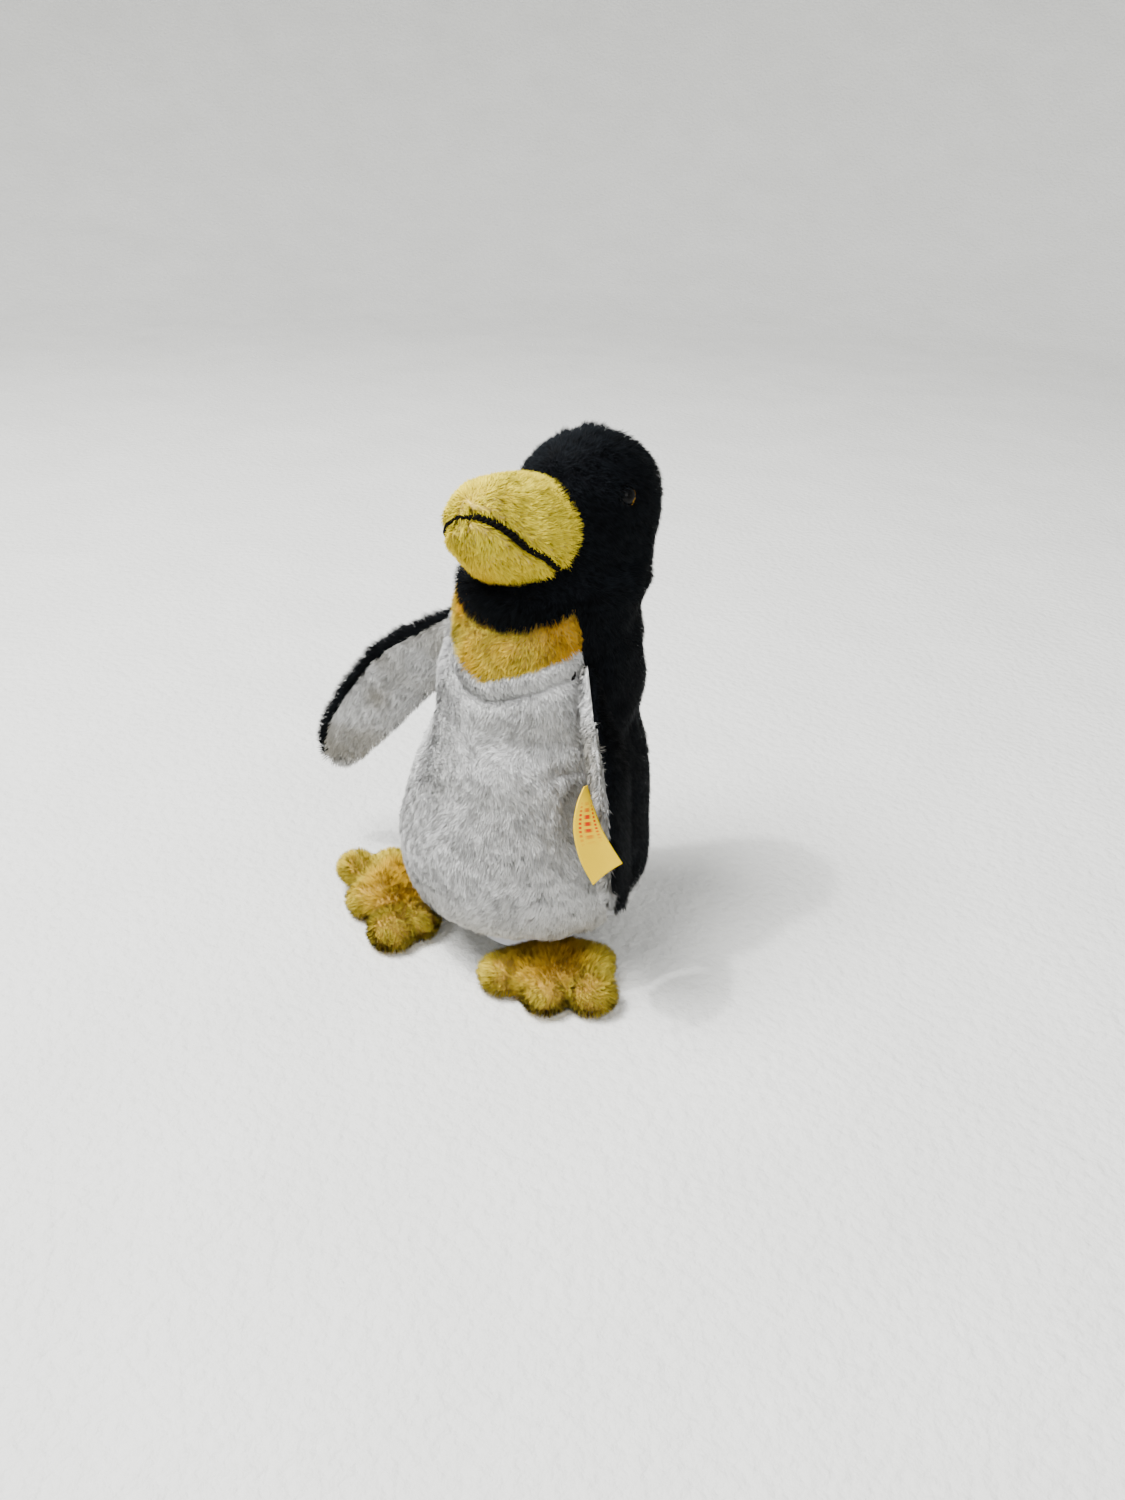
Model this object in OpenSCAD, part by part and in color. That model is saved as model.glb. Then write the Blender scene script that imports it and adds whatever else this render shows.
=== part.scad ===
// Plush penguin: sewn pile-fabric panels over fibre stuffing, with a pellet bag low in the body.
// The penguin faces -Y, its left side is +X, and it stands on z = 0.
// The origin is the centre of the seat, on the floor.

/* [Body] */
// Width of the belly at its widest
belly_w = 85; // [70:1:100]
// Reach of the belly in front of the origin
belly_front = 45.5; // [38:0.5:52]
// Reach of the back behind the origin
belly_back = 40; // [34:0.5:45]
// Height of the seam between body and head
neck_z = 124; // [110:1:138]
// Width of the neck
neck_w = 59; // [50:1:68]
// Width of the seat that rests on the floor
seat_w = 46; // [38:1:52]
// Thickness of the pile fabric, backing and pile together
skin_t = 3; // [2:0.1:4]

/* [Throat] */
// Half the angle round the body that the throat patch covers
bib_angle = 62; // [50:1:75]
// Depth of the throat patch at its front tip
bib_depth = 17; // [12:1:24]
// Depth of the throat patch at its side corners
bib_side_depth = 7; // [4:0.5:11]

/* [Head] */
// Height of the head above the neck seam
head_h = 50; // [44:1:58]
// Width of the head
head_w = 47; // [40:1:54]
// Reach of the back of the head behind the origin
head_back = 48; // [43:0.5:53]
// Height of the chin band above the neck seam
chin_h = 9; // [6:0.5:12]

/* [Beak] */
// Length of the beak in front of its base
beak_len = 36; // [30:1:42]
// Width of the beak at its base
beak_w = 39; // [30:1:44]
// Height of the beak at its base
beak_h = 39; // [32:1:42]
// Upward tilt of the beak
beak_pitch = 21; // [10:1:28]
// Diameter of the thread in the mouth seam
mouth_d = 1.6; // [1:0.1:2.4]

/* [Eyes] */
// Diameter of an eye bead
eye_d = 7.5; // [6:0.5:9]
// Diameter of the washer that locks an eye
washer_d = 11; // [10:0.5:14]

/* [Flippers] */
// Length of a flipper below its shoulder
flipper_len = 74; // [60:1:84]
// Widest chord of a flipper
flipper_w = 22; // [19:1:26]
// Thickness of the stuffing in a flipper
flipper_fill_t = 3; // [2:0.5:4]
// Height of the left shoulder
left_shoulder_z = 105; // [98:1:110]
// Height of the right shoulder
right_shoulder_z = 98; // [92:1:103]
// Sideways lift of the left flipper at rest
left_lift = 7; // [6:1:12]
// Sideways lift of the right flipper at rest
right_lift = 39; // [34:1:46]
// Forward swing of the right flipper at rest
right_swing = 17; // [0:1:25]
// Turn of the left flipper about its own length
left_twist = 27; // [15:1:35]
// Turn of the right flipper about its own length
right_twist = 68; // [50:1:75]

/* [Tag] */
// Width of the ribbon tag
tag_w = 12; // [10:0.5:14]
// Free length of the ribbon tag
tag_len = 29; // [20:1:32]
// Thickness of the ribbon, as a closed solid
tag_t = 0.8; // [0.6:0.1:1.2]
// Distance of the tag's sewn end below the shoulder
tag_drop = 24; // [16:1:34]

/* [Feet] */
// Length of a foot in front of its pivot
foot_len = 30; // [26:0.5:32]
// Height of a foot
foot_h = 11; // [9:0.5:11.5]
// Depth of the notches between the toes
toe_notch = 6; // [3:0.5:8]
// Distance of the left foot's pivot from the middle plane
left_foot_x = 27; // [25:0.5:30]
// Distance of the right foot's pivot from the middle plane
right_foot_x = 30.5; // [28:0.5:34]
// Outward turn of the left foot at rest
left_splay = 23; // [16:1:32]
// Outward turn of the right foot at rest
right_splay = 14; // [6:1:24]
// How far the outer toe of the right foot curls up
right_toe_lift = 13; // [0:1:14]

/* [Filling] */
// Diameter of the pellet bag
pellet_bag_d = 38; // [30:1:42]
// Diameter of one pellet
pellet_d = 5; // [4:0.5:6]

/* [Hidden] */

black_pile = [0.06, 0.07, 0.09];
white_pile = [0.86, 0.86, 0.84];
yellow_pile = [0.90, 0.78, 0.32];
golden_pile = [0.88, 0.64, 0.14];
fibre = [0.95, 0.95, 0.93];

seam_gap = 0.15;        // between two panels sewn to each other
fill_gap = 0.2;         // between a skin and the stuffing inside it
joint_gap = 0.4;        // half the clearance between the head and the body
foot_clear = 1;         // between a foot and the belly above it
under_z = foot_h + foot_clear;
belly_z = neck_z * 0.3;

// ---- Outline of the body and head: height, half width, reach to the front, reach to the back
seat_front = 8;
seat_back = 26;
seat_grow = 3;          // how much the body widens between the floor and the tops of the feet
neck_front = 24.5;
neck_back = 36.5;
body_sections = [
    [0, seat_w / 2, -seat_front, seat_back],
    [under_z * 0.45, seat_w / 2 + seat_grow, -seat_front - 1, seat_back + 4],
    [under_z, seat_w / 2 + seat_grow + 1, -seat_front - 1.5, seat_back + 6],
    [under_z + 2.5, belly_w * 0.42, -belly_front * 0.68, belly_back * 0.94],
    [under_z + 8, belly_w * 0.47, -belly_front * 0.88, belly_back * 0.98],
    [belly_z * 0.82, belly_w * 0.5, -belly_front * 0.985, belly_back],
    [belly_z * 1.2, belly_w * 0.5, -belly_front, belly_back],
    [belly_z * 1.65, belly_w * 0.47, -belly_front * 0.9, belly_back * 0.99],
    [belly_z * 2.2, neck_w * 0.61, -neck_front * 1.42, neck_back * 1.04],
    [neck_z - 19, neck_w * 0.55, -neck_front * 1.2, neck_back * 0.98],
    [neck_z - 7, neck_w * 0.517, -neck_front * 1.07, neck_back * 0.97],
    [neck_z, neck_w * 0.5, -neck_front, neck_back]
];
head_sections = [
    [neck_z, neck_w * 0.5, -neck_front, neck_back],
    [neck_z + head_h * 0.16, neck_w * 0.475, -neck_front * 0.95, head_back * 0.83],
    [neck_z + head_h * 0.33, head_w * 0.54, -neck_front * 0.64, head_back * 0.92],
    [neck_z + head_h * 0.52, head_w * 0.52, -neck_front * 0.33, head_back],
    [neck_z + head_h * 0.7, head_w * 0.47, -neck_front * 0.08, head_back * 0.985],
    [neck_z + head_h * 0.85, head_w * 0.36, head_back * 0.11, head_back * 0.88],
    [neck_z + head_h * 0.955, head_w * 0.21, head_back * 0.27, head_back * 0.72],
    [neck_z + head_h, head_w * 0.04, head_back * 0.43, head_back * 0.55]
];

function mix(a, b, t) = a + (b - a) * t;
function span_of(table, x, i = 0) =
    (i >= len(table) - 2 || x < table[i + 1][0]) ? i : span_of(table, x, i + 1);
function slope_at(table, i, c) =
    let (low = max(i - 1, 0), high = min(i + 1, len(table) - 1))
    (table[high][c] - table[low][c]) / (table[high][0] - table[low][0]);
// Smooth value of column c at x, by Hermite curves through the rows of a table
function smooth(table, x, c) =
    let (
        i = span_of(table, x),
        h = table[i + 1][0] - table[i][0],
        t = min(max((x - table[i][0]) / h, 0), 1),
        m0 = slope_at(table, i, c) * h,
        m1 = slope_at(table, i + 1, c) * h
    )
    (2 * t * t * t - 3 * t * t + 1) * table[i][c] + (t * t * t - 2 * t * t + t) * m0
    + (3 * t * t - 2 * t * t * t) * table[i + 1][c] + (t * t * t - t * t) * m1;

// A point on the body or head: angle a from the front towards +X, height z, depth below the surface
function round_point(table, a, z, depth) =
    let (
        half = max(smooth(table, z, 1) - depth, 0.3),
        front = smooth(table, z, 2) + depth,
        back = smooth(table, z, 3) - depth,
        reach = max((back - front) / 2, 0.3)
    )
    [half * sin(a), (front + back) / 2 - reach * cos(a), z];

// ---- Closed solids made from a grid of points
// A panel with a left and right edge: point(u, v, depth) with u and v from 0 to 1
module panel(nu, nv, point, depth) {
    rows = (nu + 1) * (nv + 1);
    function id(i, j, layer) = layer * rows + j * (nu + 1) + i;
    points = [
        for (layer = [0, 1], j = [0 : nv], i = [0 : nu]) point(i / nu, j / nv, layer * depth)
    ];
    outer = [for (j = [0 : nv - 1], i = [0 : nu - 1]) each [
        [id(i, j, 0), id(i, j + 1, 0), id(i + 1, j + 1, 0)],
        [id(i, j, 0), id(i + 1, j + 1, 0), id(i + 1, j, 0)]
    ]];
    inner = [for (j = [0 : nv - 1], i = [0 : nu - 1]) each [
        [id(i, j, 1), id(i + 1, j + 1, 1), id(i, j + 1, 1)],
        [id(i, j, 1), id(i + 1, j, 1), id(i + 1, j + 1, 1)]
    ]];
    low_high = [for (i = [0 : nu - 1]) each [
        [id(i, 0, 0), id(i + 1, 0, 0), id(i + 1, 0, 1)],
        [id(i, 0, 0), id(i + 1, 0, 1), id(i, 0, 1)],
        [id(i, nv, 0), id(i + 1, nv, 1), id(i + 1, nv, 0)],
        [id(i, nv, 0), id(i, nv, 1), id(i + 1, nv, 1)]
    ]];
    sides = [for (j = [0 : nv - 1]) each [
        [id(0, j, 0), id(0, j + 1, 1), id(0, j + 1, 0)],
        [id(0, j, 0), id(0, j, 1), id(0, j + 1, 1)],
        [id(nu, j, 0), id(nu, j + 1, 0), id(nu, j + 1, 1)],
        [id(nu, j, 0), id(nu, j + 1, 1), id(nu, j, 1)]
    ]];
    polyhedron(points, concat(outer, inner, low_high, sides));
}

// A solid closed all round: point(u, v) with u once round and v from one end to the other
module lump(nu, nv, point) {
    function id(i, j) = j * nu + (i % nu);
    points = [for (j = [0 : nv], i = [0 : nu - 1]) point(i / nu, j / nv)];
    sides = [for (j = [0 : nv - 1], i = [0 : nu - 1]) each [
        [id(i, j), id(i, j + 1), id(i + 1, j + 1)],
        [id(i, j), id(i + 1, j + 1), id(i + 1, j)]
    ]];
    ends = [[for (i = [0 : nu - 1]) id(i, 0)], [for (i = [nu - 1 : -1 : 0]) id(i, nv)]];
    polyhedron(points, concat(sides, ends));
}

// ---- Body
// Rows that lie close together just above the feet, where the belly turns in
function body_row(low, high, v) = mix(low, high, pow(v, 1.3));
base_top = under_z + 10;                    // the base panel turns up to here behind the belly
wide_seam = 82;                             // angle of the side seams at the belly
// Angle of the side seam at height z: it swings forward from the hips to the neck
function side_seam(z) =
    mix(wide_seam, bib_angle, pow(min(max((z - belly_z) / (neck_z - belly_z), 0), 1), 3));
// Height of the throat patch's lower edge at angle a
function bib_edge(a) =
    neck_z - joint_gap - mix(bib_depth, bib_side_depth, pow(min(abs(a) / bib_angle, 1), 1.3));
function belly_top(t) = bib_edge((2 * t - 1) * bib_angle) - seam_gap;

module belly_panel() {
    edge = seam_gap;
    color(white_pile) panel(24, 18, function (u, v, d)
        let (
            z = body_row(under_z + edge, belly_top(u), v),
            a = (2 * u - 1) * (side_seam(z) - edge)
        )
        round_point(body_sections, a, z, d), skin_t);
}

module throat_patch() {
    color(golden_pile) panel(18, 4, function (u, v, d)
        let (
            a0 = (2 * u - 1) * bib_angle,
            z = mix(bib_edge(a0), neck_z - joint_gap, v),
            a = (2 * u - 1) * (side_seam(z) - seam_gap)
        )
        round_point(body_sections, a, z, d), skin_t);
}

// side is 1 for the left half and -1 for the right half
module back_panel(side) {
    color(black_pile) panel(12, 20, function (u, v, d)
        let (
            z = body_row(base_top + seam_gap, neck_z - joint_gap, v),
            start = side > 0 ? side_seam(z) + seam_gap : 180 + seam_gap,
            end = side > 0 ? 180 - seam_gap : 360 - side_seam(z) - seam_gap
        )
        round_point(body_sections, mix(start, end, u), z, d), skin_t);
}

module back_panel_left() {
    back_panel(1);
}

module back_panel_right() {
    back_panel(-1);
}

// The underside, turned up round the seat
module base_panel() {
    color(white_pile) difference() {
        union() {
            lump(40, 6, function (u, v) round_point(body_sections, 360 * u, mix(0, under_z, v), 0));
            panel(30, 5, function (u, v, d)
                let (
                    z = mix(under_z - 0.5, base_top, pow(v, 1.3)),
                    a = mix(wide_seam + 2, 358 - wide_seam, u)
                )
                round_point(body_sections, a, z, d), skin_t);
        }
        lump(40, 6, function (u, v)
            round_point(body_sections, 360 * u, mix(skin_t, under_z + 1, v), skin_t));
    }
}

fill_depth = skin_t + fill_gap;
ledge_inset = 1.8;                          // more room where the belly turns in over the feet
bag_low = under_z + 3.5;                    // height of the underside of the pellet bag
bag_h = 28;
bag_wall = 1.2;
bag_y = 2;

module body_stuffing() {
    color(fibre) difference() {
        lump(36, 22, function (u, v)
            let (
                ledge_v = 4 / 22,
                z = v < ledge_v ? mix(fill_depth + 0.3, under_z, v / ledge_v)
                    : body_row(under_z, neck_z - joint_gap - 0.2, (v - ledge_v) / (1 - ledge_v)),
                inset = ledge_inset * max(1 - abs(z - under_z - 3) / 9, 0)
            )
            round_point(body_sections, 360 * u, z, fill_depth + inset));
        translate([0, bag_y, 0]) bag_shape(fill_gap);
    }
}

// The bag is a squat drum with round edges, grown by a clearance
module bag_shape(grow) {
    edge_r = 8;
    half = pellet_bag_d / 2 + grow;
    tall = bag_h + 2 * grow;
    translate([0, 0, bag_low - grow]) rotate_extrude($fn = 48) {
        square([half - edge_r, tall]);
        translate([0, edge_r]) square([half, tall - 2 * edge_r]);
        for (end_z = [edge_r, tall - edge_r]) intersection() {
            translate([half - edge_r, end_z]) circle(edge_r);
            square([half, tall]);
        }
    }
}

module pellet_bag() {
    color("gainsboro") translate([0, bag_y, 0]) difference() {
        bag_shape(0);
        bag_shape(-bag_wall);
    }
}

// Loose plastic pellets, in rings and layers inside the bag
module pellets() {
    pitch = pellet_d + 0.2;
    layers = floor((bag_h - 2 * bag_wall) / pitch) - 1;
    rings = floor((pellet_bag_d / 2 - bag_wall - pellet_d) / pitch);
    color("whitesmoke") translate([0, bag_y, bag_low + bag_wall + pitch * 0.55])
        for (layer = [0 : layers - 1]) {
            // The lowest and highest layers leave out the outermost ring, where the bag is rounded
            outermost = (layer == 0 || layer == layers - 1) ? rings - 1 : rings;
            for (ring = [0 : outermost]) {
                around = max(1, floor(2 * PI * ring));
                for (i = [0 : around - 1])
                    rotate([0, 0, 360 * i / around]) translate([ring * pitch, 0, layer * pitch])
                        sphere(d = pellet_d, $fn = 24);
            }
        }
}

// ---- Head
head_low = neck_z + joint_gap;
head_top = neck_z + head_h;
chin_angle = 74;                            // the chin band reaches this far round each side

module chin_band() {
    color(black_pile) panel(18, 4, function (u, v, d)
        round_point(head_sections, (2 * u - 1) * chin_angle, mix(head_low, head_low + chin_h, v), d),
        skin_t);
}

// Each half goes round from the chin band to the seam down the back of the head
module head_panel(side) {
    chin_top = head_low + chin_h + seam_gap;
    color(black_pile) difference() {
        head_shell(side, chin_top);
        eye_seat(side);
    }
}

module head_shell(side, chin_top) {
    union() {
        panel(14, 12, function (u, v, d)
            let (
                z = mix(chin_top, head_top - 0.4, v),
                start = side > 0 ? seam_gap : 180 + seam_gap,
                end = side > 0 ? 180 - seam_gap : 360 - seam_gap
            )
            round_point(head_sections, mix(start, end, u), z, d), skin_t);
        panel(8, 3, function (u, v, d)
            let (
                z = mix(head_low, chin_top + 0.1, v),
                start = side > 0 ? chin_angle + 0.4 : 180 + seam_gap,
                end = side > 0 ? 180 - seam_gap : 360 - chin_angle - 0.4
            )
            round_point(head_sections, mix(start, end, u), z, d), skin_t);
    }
}

module head_panel_left() {
    head_panel(1);
}

module head_panel_right() {
    head_panel(-1);
}

module head_stuffing() {
    color(fibre) difference() {
        lump(32, 12, function (u, v)
            round_point(head_sections, 360 * u, mix(head_low + 0.2, head_top - skin_t - 1, v), fill_depth));
        for (side = [-1, 1]) {
            eye_seat(side);
            washer_seat(side);
        }
    }
}

// ---- Beak, in its own frame: t along it from the base, up and down across it
beak_y = 1.5;                               // of the middle of the beak's base
beak_z = neck_z + head_h * 0.4;
beak_sections = [
    [-10, beak_w * 0.5, -beak_h * 0.46, beak_h * 0.47],
    [0, beak_w * 0.5, -beak_h * 0.5, beak_h * 0.5],
    [beak_len * 0.28, beak_w * 0.48, -beak_h * 0.47, beak_h * 0.47],
    [beak_len * 0.52, beak_w * 0.43, -beak_h * 0.42, beak_h * 0.42],
    [beak_len * 0.74, beak_w * 0.34, -beak_h * 0.34, beak_h * 0.36],
    [beak_len * 0.9, beak_w * 0.22, -beak_h * 0.22, beak_h * 0.26],
    [beak_len * 0.97, beak_w * 0.12, -beak_h * 0.1, beak_h * 0.16],
    [beak_len, beak_w * 0.02, beak_h * 0.01, beak_h * 0.05]
];
beak_root = -9;                             // hidden inside the head, before the head is cut away
beak_tip = beak_len;
// Angle from the top at which the mouth seam lies: it drops towards the cheeks
function mouth_angle(t) = mix(124, 88, pow(min(max(t / beak_len, 0), 1), 0.8));
function beak_point(a, t, depth) =
    let (
        half = max(smooth(beak_sections, t, 1) - depth, 0.3),
        low = smooth(beak_sections, t, 2) + depth,
        high = smooth(beak_sections, t, 3) - depth,
        reach = max((high - low) / 2, 0.3),
        side = half * sin(a),
        rise = (high + low) / 2 + reach * cos(a)
    )
    [
        side,
        beak_y - t * cos(beak_pitch) + rise * sin(beak_pitch),
        beak_z + t * sin(beak_pitch) + rise * cos(beak_pitch)
    ];

// What the beak is sewn to: the head's outer surface, grown by a clearance
module head_bulk(grow) {
    lump(30, 8, function (u, v)
        round_point(head_sections, 360 * u, mix(head_low - 1, head_top - 10, v), -grow));
}

// A skin of the beak between two angles round it, each a function of t
module beak_skin(start, end) {
    color(yellow_pile) difference() {
        panel(20, 10, function (u, v, d)
            let (t = mix(beak_root, beak_tip, 1 - pow(1 - v, 1.6)))
            beak_point(mix(start(t), end(t), u), t, d), skin_t);
        head_bulk(seam_gap);
    }
}

module beak_upper() {
    beak_skin(function (t) mouth_angle(t) - 1, function (t) 1 - mouth_angle(t));
}

module beak_lower() {
    beak_skin(function (t) -mouth_angle(t) - 1, function (t) mouth_angle(t) + 1 - 360);
}

module beak_stuffing() {
    color(fibre) difference() {
        lump(24, 8, function (u, v) beak_point(-360 * u, mix(beak_root, beak_len * 0.86, v), fill_depth));
        head_bulk(seam_gap);
    }
}

// The thread lies in the seam between the two halves, from cheek to cheek
mouth_back = beak_len * 0.24;
module mouth_thread() {
    thread_sides = 8;
    mouth_rings = 28;
    function seam_at(k) =
        let (q = 2 * k / mouth_rings - 1, t = mix(beak_tip, mouth_back, pow(abs(q), 1.7)))
        beak_point((q < 0 ? -1 : 1) * mouth_angle(t), t, 0);
    color(black_pile) lump(thread_sides, mouth_rings, function (u, v)
        let (
            k = round(v * mouth_rings),
            here = seam_at(k),
            ahead = seam_at(min(k + 1, mouth_rings)) - seam_at(max(k - 1, 0)),
            along = ahead / norm(ahead),
            outward = cross(along, [0, sin(beak_pitch), cos(beak_pitch)]),
            side = outward / norm(outward),
            up = cross(side, along)
        )
        here + side * (mouth_d * 0.5 * cos(-360 * u) + mouth_d * 0.6) + up * mouth_d * 0.5 * sin(-360 * u));
}

// ---- Eyes: a bead with a rim and a shank through the skin, held by a washer inside
eye_angle = 80;
eye_z = neck_z + head_h * 0.68;
rim_d = eye_d + 1.2;
rim_t = 0.8;
eye_sink = 1.3;                             // how far the middle of a bead lies below the pile's tips
eye_tilt = 12;
shank_d = 3;
shank_len = 8;
washer_t = 1.2;
washer_deep = 5.4;                          // depth of a washer's outer face below the pile's tips
washer_bore = shank_d + 0.2;

// The origin of an eye is on the skin's surface, with +Z outward
module at_eye(side) {
    spot = round_point(head_sections, side * eye_angle, eye_z, 0);
    translate(spot) rotate([0, 0, side * eye_angle]) rotate([90 - eye_tilt, 0, 0]) children();
}

module eye(side) {
    color("black") at_eye(side) translate([0, 0, -eye_sink]) {
        intersection() {
            sphere(d = eye_d, $fn = 64);
            translate([-eye_d, -eye_d, 0]) cube([eye_d * 2, eye_d * 2, eye_d]);
        }
        translate([0, 0, -rim_t]) cylinder(d = rim_d, h = rim_t, $fn = 48);
        translate([0, 0, -shank_len]) cylinder(d = shank_d, h = shank_len, $fn = 32);
    }
}

// The hollow that an eye lies in, with its shank's hole through the skin
module eye_seat(side) {
    at_eye(side) {
        translate([0, 0, -eye_sink - rim_t - seam_gap])
            cylinder(d = rim_d + 2 * seam_gap, h = eye_d, $fn = 48);
        translate([0, 0, -eye_sink - shank_len - 1])
            cylinder(d = washer_bore, h = shank_len + 2, $fn = 32);
    }
}

// Where the washer lies, in the stuffing behind the skin
module washer_seat(side) {
    at_eye(side) translate([0, 0, -washer_deep - washer_t - 0.6])
        cylinder(d = washer_d + 2 * fill_gap, h = washer_t + 3, $fn = 48);
}

module eye_left() {
    eye(1);
}

module eye_right() {
    eye(-1);
}

module eye_washer(side) {
    color("white") at_eye(side) translate([0, 0, -washer_deep - washer_t]) difference() {
        cylinder(d = washer_d, h = washer_t, $fn = 48);
        translate([0, 0, -1]) cylinder(d = washer_bore, h = washer_t + 2, $fn = 32);
    }
}

module eye_washer_left() {
    eye_washer(1);
}

module eye_washer_right() {
    eye_washer(-1);
}

// ---- Flippers, hanging along -Z from the shoulder pivot, leading edge at -Y, outer face at +X
left_shoulder_gap = 1.5;                    // of the pivot, outside the belly's half width
right_shoulder_gap = 3.6;
left_shoulder_y = -8;
right_shoulder_y = -3;
left_chord = -3;                            // how far the middle of a flipper lies behind its pivot
right_chord = 2.5;
flipper_top = 2.5;                          // how far the flipper reaches above its pivot
function chord_at(s) = flipper_w * pow(max(1 - pow(2 * abs(s - 0.42) / 1.2, 2.4), 0.05), 0.5);
// c runs across the chord from the leading edge (-1) to the trailing edge (1)
function flipper_point(s, c, out) =
    let (
        chord = chord_at(s),
        trailing = flipper_w * 0.5 - 3.6 * pow(max(s - 0.75, 0) * 4, 2)
    )
    [out, trailing - chord * (1 - c) / 2, flipper_top - s * (flipper_len + flipper_top)];
function fill_half(c) = flipper_fill_t / 2 * pow(max(1 - c * c, 0), 0.5);

module flipper_skin(side) {
    panel(10, 18, function (u, v, d)
        let (
            c = side > 0 ? 2 * u - 1 : 1 - 2 * u,
            cover = d > 0 ? 0 : skin_t * (1 - 0.55 * pow(abs(c), 3)) * (1 - 0.4 * pow(abs(2 * v - 1), 6))
        )
        flipper_point(v, -c, side * (seam_gap / 2 + fill_half(c) + cover)), 1);
}

module flipper_fill() {
    lump(16, 12, function (u, v)
        let (c = 0.93 * cos(360 * u))
        flipper_point(mix(0.03, 0.97, v), c, 0.93 * fill_half(c / 0.95) * sign(sin(360 * u) + 0.001)));
}

// Hangs the left flipper's pieces at its shoulder; the right one is the mirror image
module at_shoulder(side) {
    lift = side > 0 ? left_lift : right_lift;
    twist = side > 0 ? left_twist : right_twist;
    swing = side > 0 ? 0 : right_swing;
    shoulder_z = side > 0 ? left_shoulder_z : right_shoulder_z;
    shoulder_y = side > 0 ? left_shoulder_y : right_shoulder_y;
    shoulder_gap = side > 0 ? left_shoulder_gap : right_shoulder_gap;
    chord = side > 0 ? left_chord : right_chord;
    pivot = [belly_w / 2 + shoulder_gap, shoulder_y, shoulder_z];
    mirror([side > 0 ? 0 : 1, 0, 0]) translate(pivot)
        rotate([0, -lift, 0]) rotate([-swing, 0, 0]) rotate([0, 0, twist])
            translate([0, chord, 0]) children();
}

module flipper_left_outer() {
    color(black_pile) at_shoulder(1) flipper_skin(1);
}

module flipper_left_inner() {
    color(white_pile) at_shoulder(1) flipper_skin(-1);
}

module flipper_left_stuffing() {
    color(fibre) at_shoulder(1) flipper_fill();
}

module flipper_right_outer() {
    color(black_pile) at_shoulder(-1) flipper_skin(1);
}

module flipper_right_inner() {
    color(white_pile) at_shoulder(-1) flipper_skin(-1);
}

module flipper_right_stuffing() {
    color(fibre) at_shoulder(-1) flipper_fill();
}

// The ribbon hangs just in front of the left flipper's leading edge
tag_clear = 1.2;
module ribbon_tag() {
    lead_y = -flipper_w / 2;
    color("gold") at_shoulder(1) translate([-tag_w - 0.5, lead_y - tag_clear - tag_t, -tag_drop - tag_len])
        cube([tag_w, tag_t, tag_len]);
}

// ---- Feet: flat pads with three toes, in polar form about their pivot
left_foot_y = -13.5;
right_foot_y = -25;
foot_rear = 8.5;
toe_step = 40;                              // angle between neighbouring toes
function toe_lobe(a) =
    let (k = min(max(round(a / toe_step), -1), 1), off = abs(a - k * toe_step) / (toe_step / 2))
    pow(min(off, 1), 3);
function foot_reach(a) =
    let (
        front = foot_len * (1 - 0.05 * pow(a / toe_step, 2)),
        inside = abs(a) <= toe_step * 1.5,
        notch = abs(a) < toe_step ? toe_notch * toe_lobe(a) : 0,
        fade = min(max((abs(a) - toe_step * 1.1) / 75, 0), 1)
    )
    inside && abs(a) < toe_step * 1.1 ? front - notch
        : mix(foot_len * 0.95, foot_rear, fade * fade * (3 - 2 * fade));

// r runs from the middle (0) to the rim (1); high is the height at the middle, rim at the edge.
// The outer side of the foot, at local +X, curls up by lift.
function foot_point(a, r, shrink, high, rim, lift) =
    let (
        reach = max((foot_reach(a) - shrink) * r, 0.4),
        outer = -reach * sin(a),
        curl = lift * pow(max(outer - foot_rear, 0) / (foot_len - foot_rear), 1.4)
    )
    [outer, -reach * cos(a), mix(high, rim, pow(r, 4)) + curl];

foot_mid = foot_h * 0.42;                   // height of the seam round a foot

module at_foot(side) {
    x = side > 0 ? left_foot_x : right_foot_x;
    y = side > 0 ? left_foot_y : right_foot_y;
    splay = side > 0 ? left_splay : right_splay;
    mirror([side > 0 ? 0 : 1, 0, 0]) translate([x, y, 0]) rotate([0, 0, splay]) children();
}

// A cap closed to the pivot: a shell whose two faces share no point
module foot_shell(high, rim, shrink, fill_high, fill_rim, lift, flip) {
    nu = 48;
    nr = 5;
    rows = nu * (nr + 1);
    function id(i, j, layer) = layer * rows + j * nu + (i % nu);
    function face(list) = flip ? [list[0], list[2], list[1]] : list;
    points = [for (layer = [0, 1], j = [0 : nr], i = [0 : nu - 1])
        foot_point(360 * i / nu - 180, max(j / nr, 0.06), layer * shrink,
            layer == 0 ? high : fill_high, layer == 0 ? rim : fill_rim, lift)];
    outer = [for (j = [0 : nr - 1], i = [0 : nu - 1]) each [
        face([id(i, j, 0), id(i, j + 1, 0), id(i + 1, j + 1, 0)]),
        face([id(i, j, 0), id(i + 1, j + 1, 0), id(i + 1, j, 0)])
    ]];
    inner = [for (j = [0 : nr - 1], i = [0 : nu - 1]) each [
        face([id(i, j, 1), id(i + 1, j + 1, 1), id(i, j + 1, 1)]),
        face([id(i, j, 1), id(i + 1, j, 1), id(i + 1, j + 1, 1)])
    ]];
    rim_faces = [for (i = [0 : nu - 1]) each [
        face([id(i, nr, 0), id(i, nr, 1), id(i + 1, nr, 1)]),
        face([id(i, nr, 0), id(i + 1, nr, 1), id(i + 1, nr, 0)])
    ]];
    middle = [for (i = [1 : nu - 2]) each [
        face([id(0, 0, 0), id(i, 0, 0), id(i + 1, 0, 0)]),
        face([id(0, 0, 1), id(i + 1, 0, 1), id(i, 0, 1)])
    ]];
    polyhedron(points, concat(outer, inner, rim_faces, middle));
}

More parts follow.
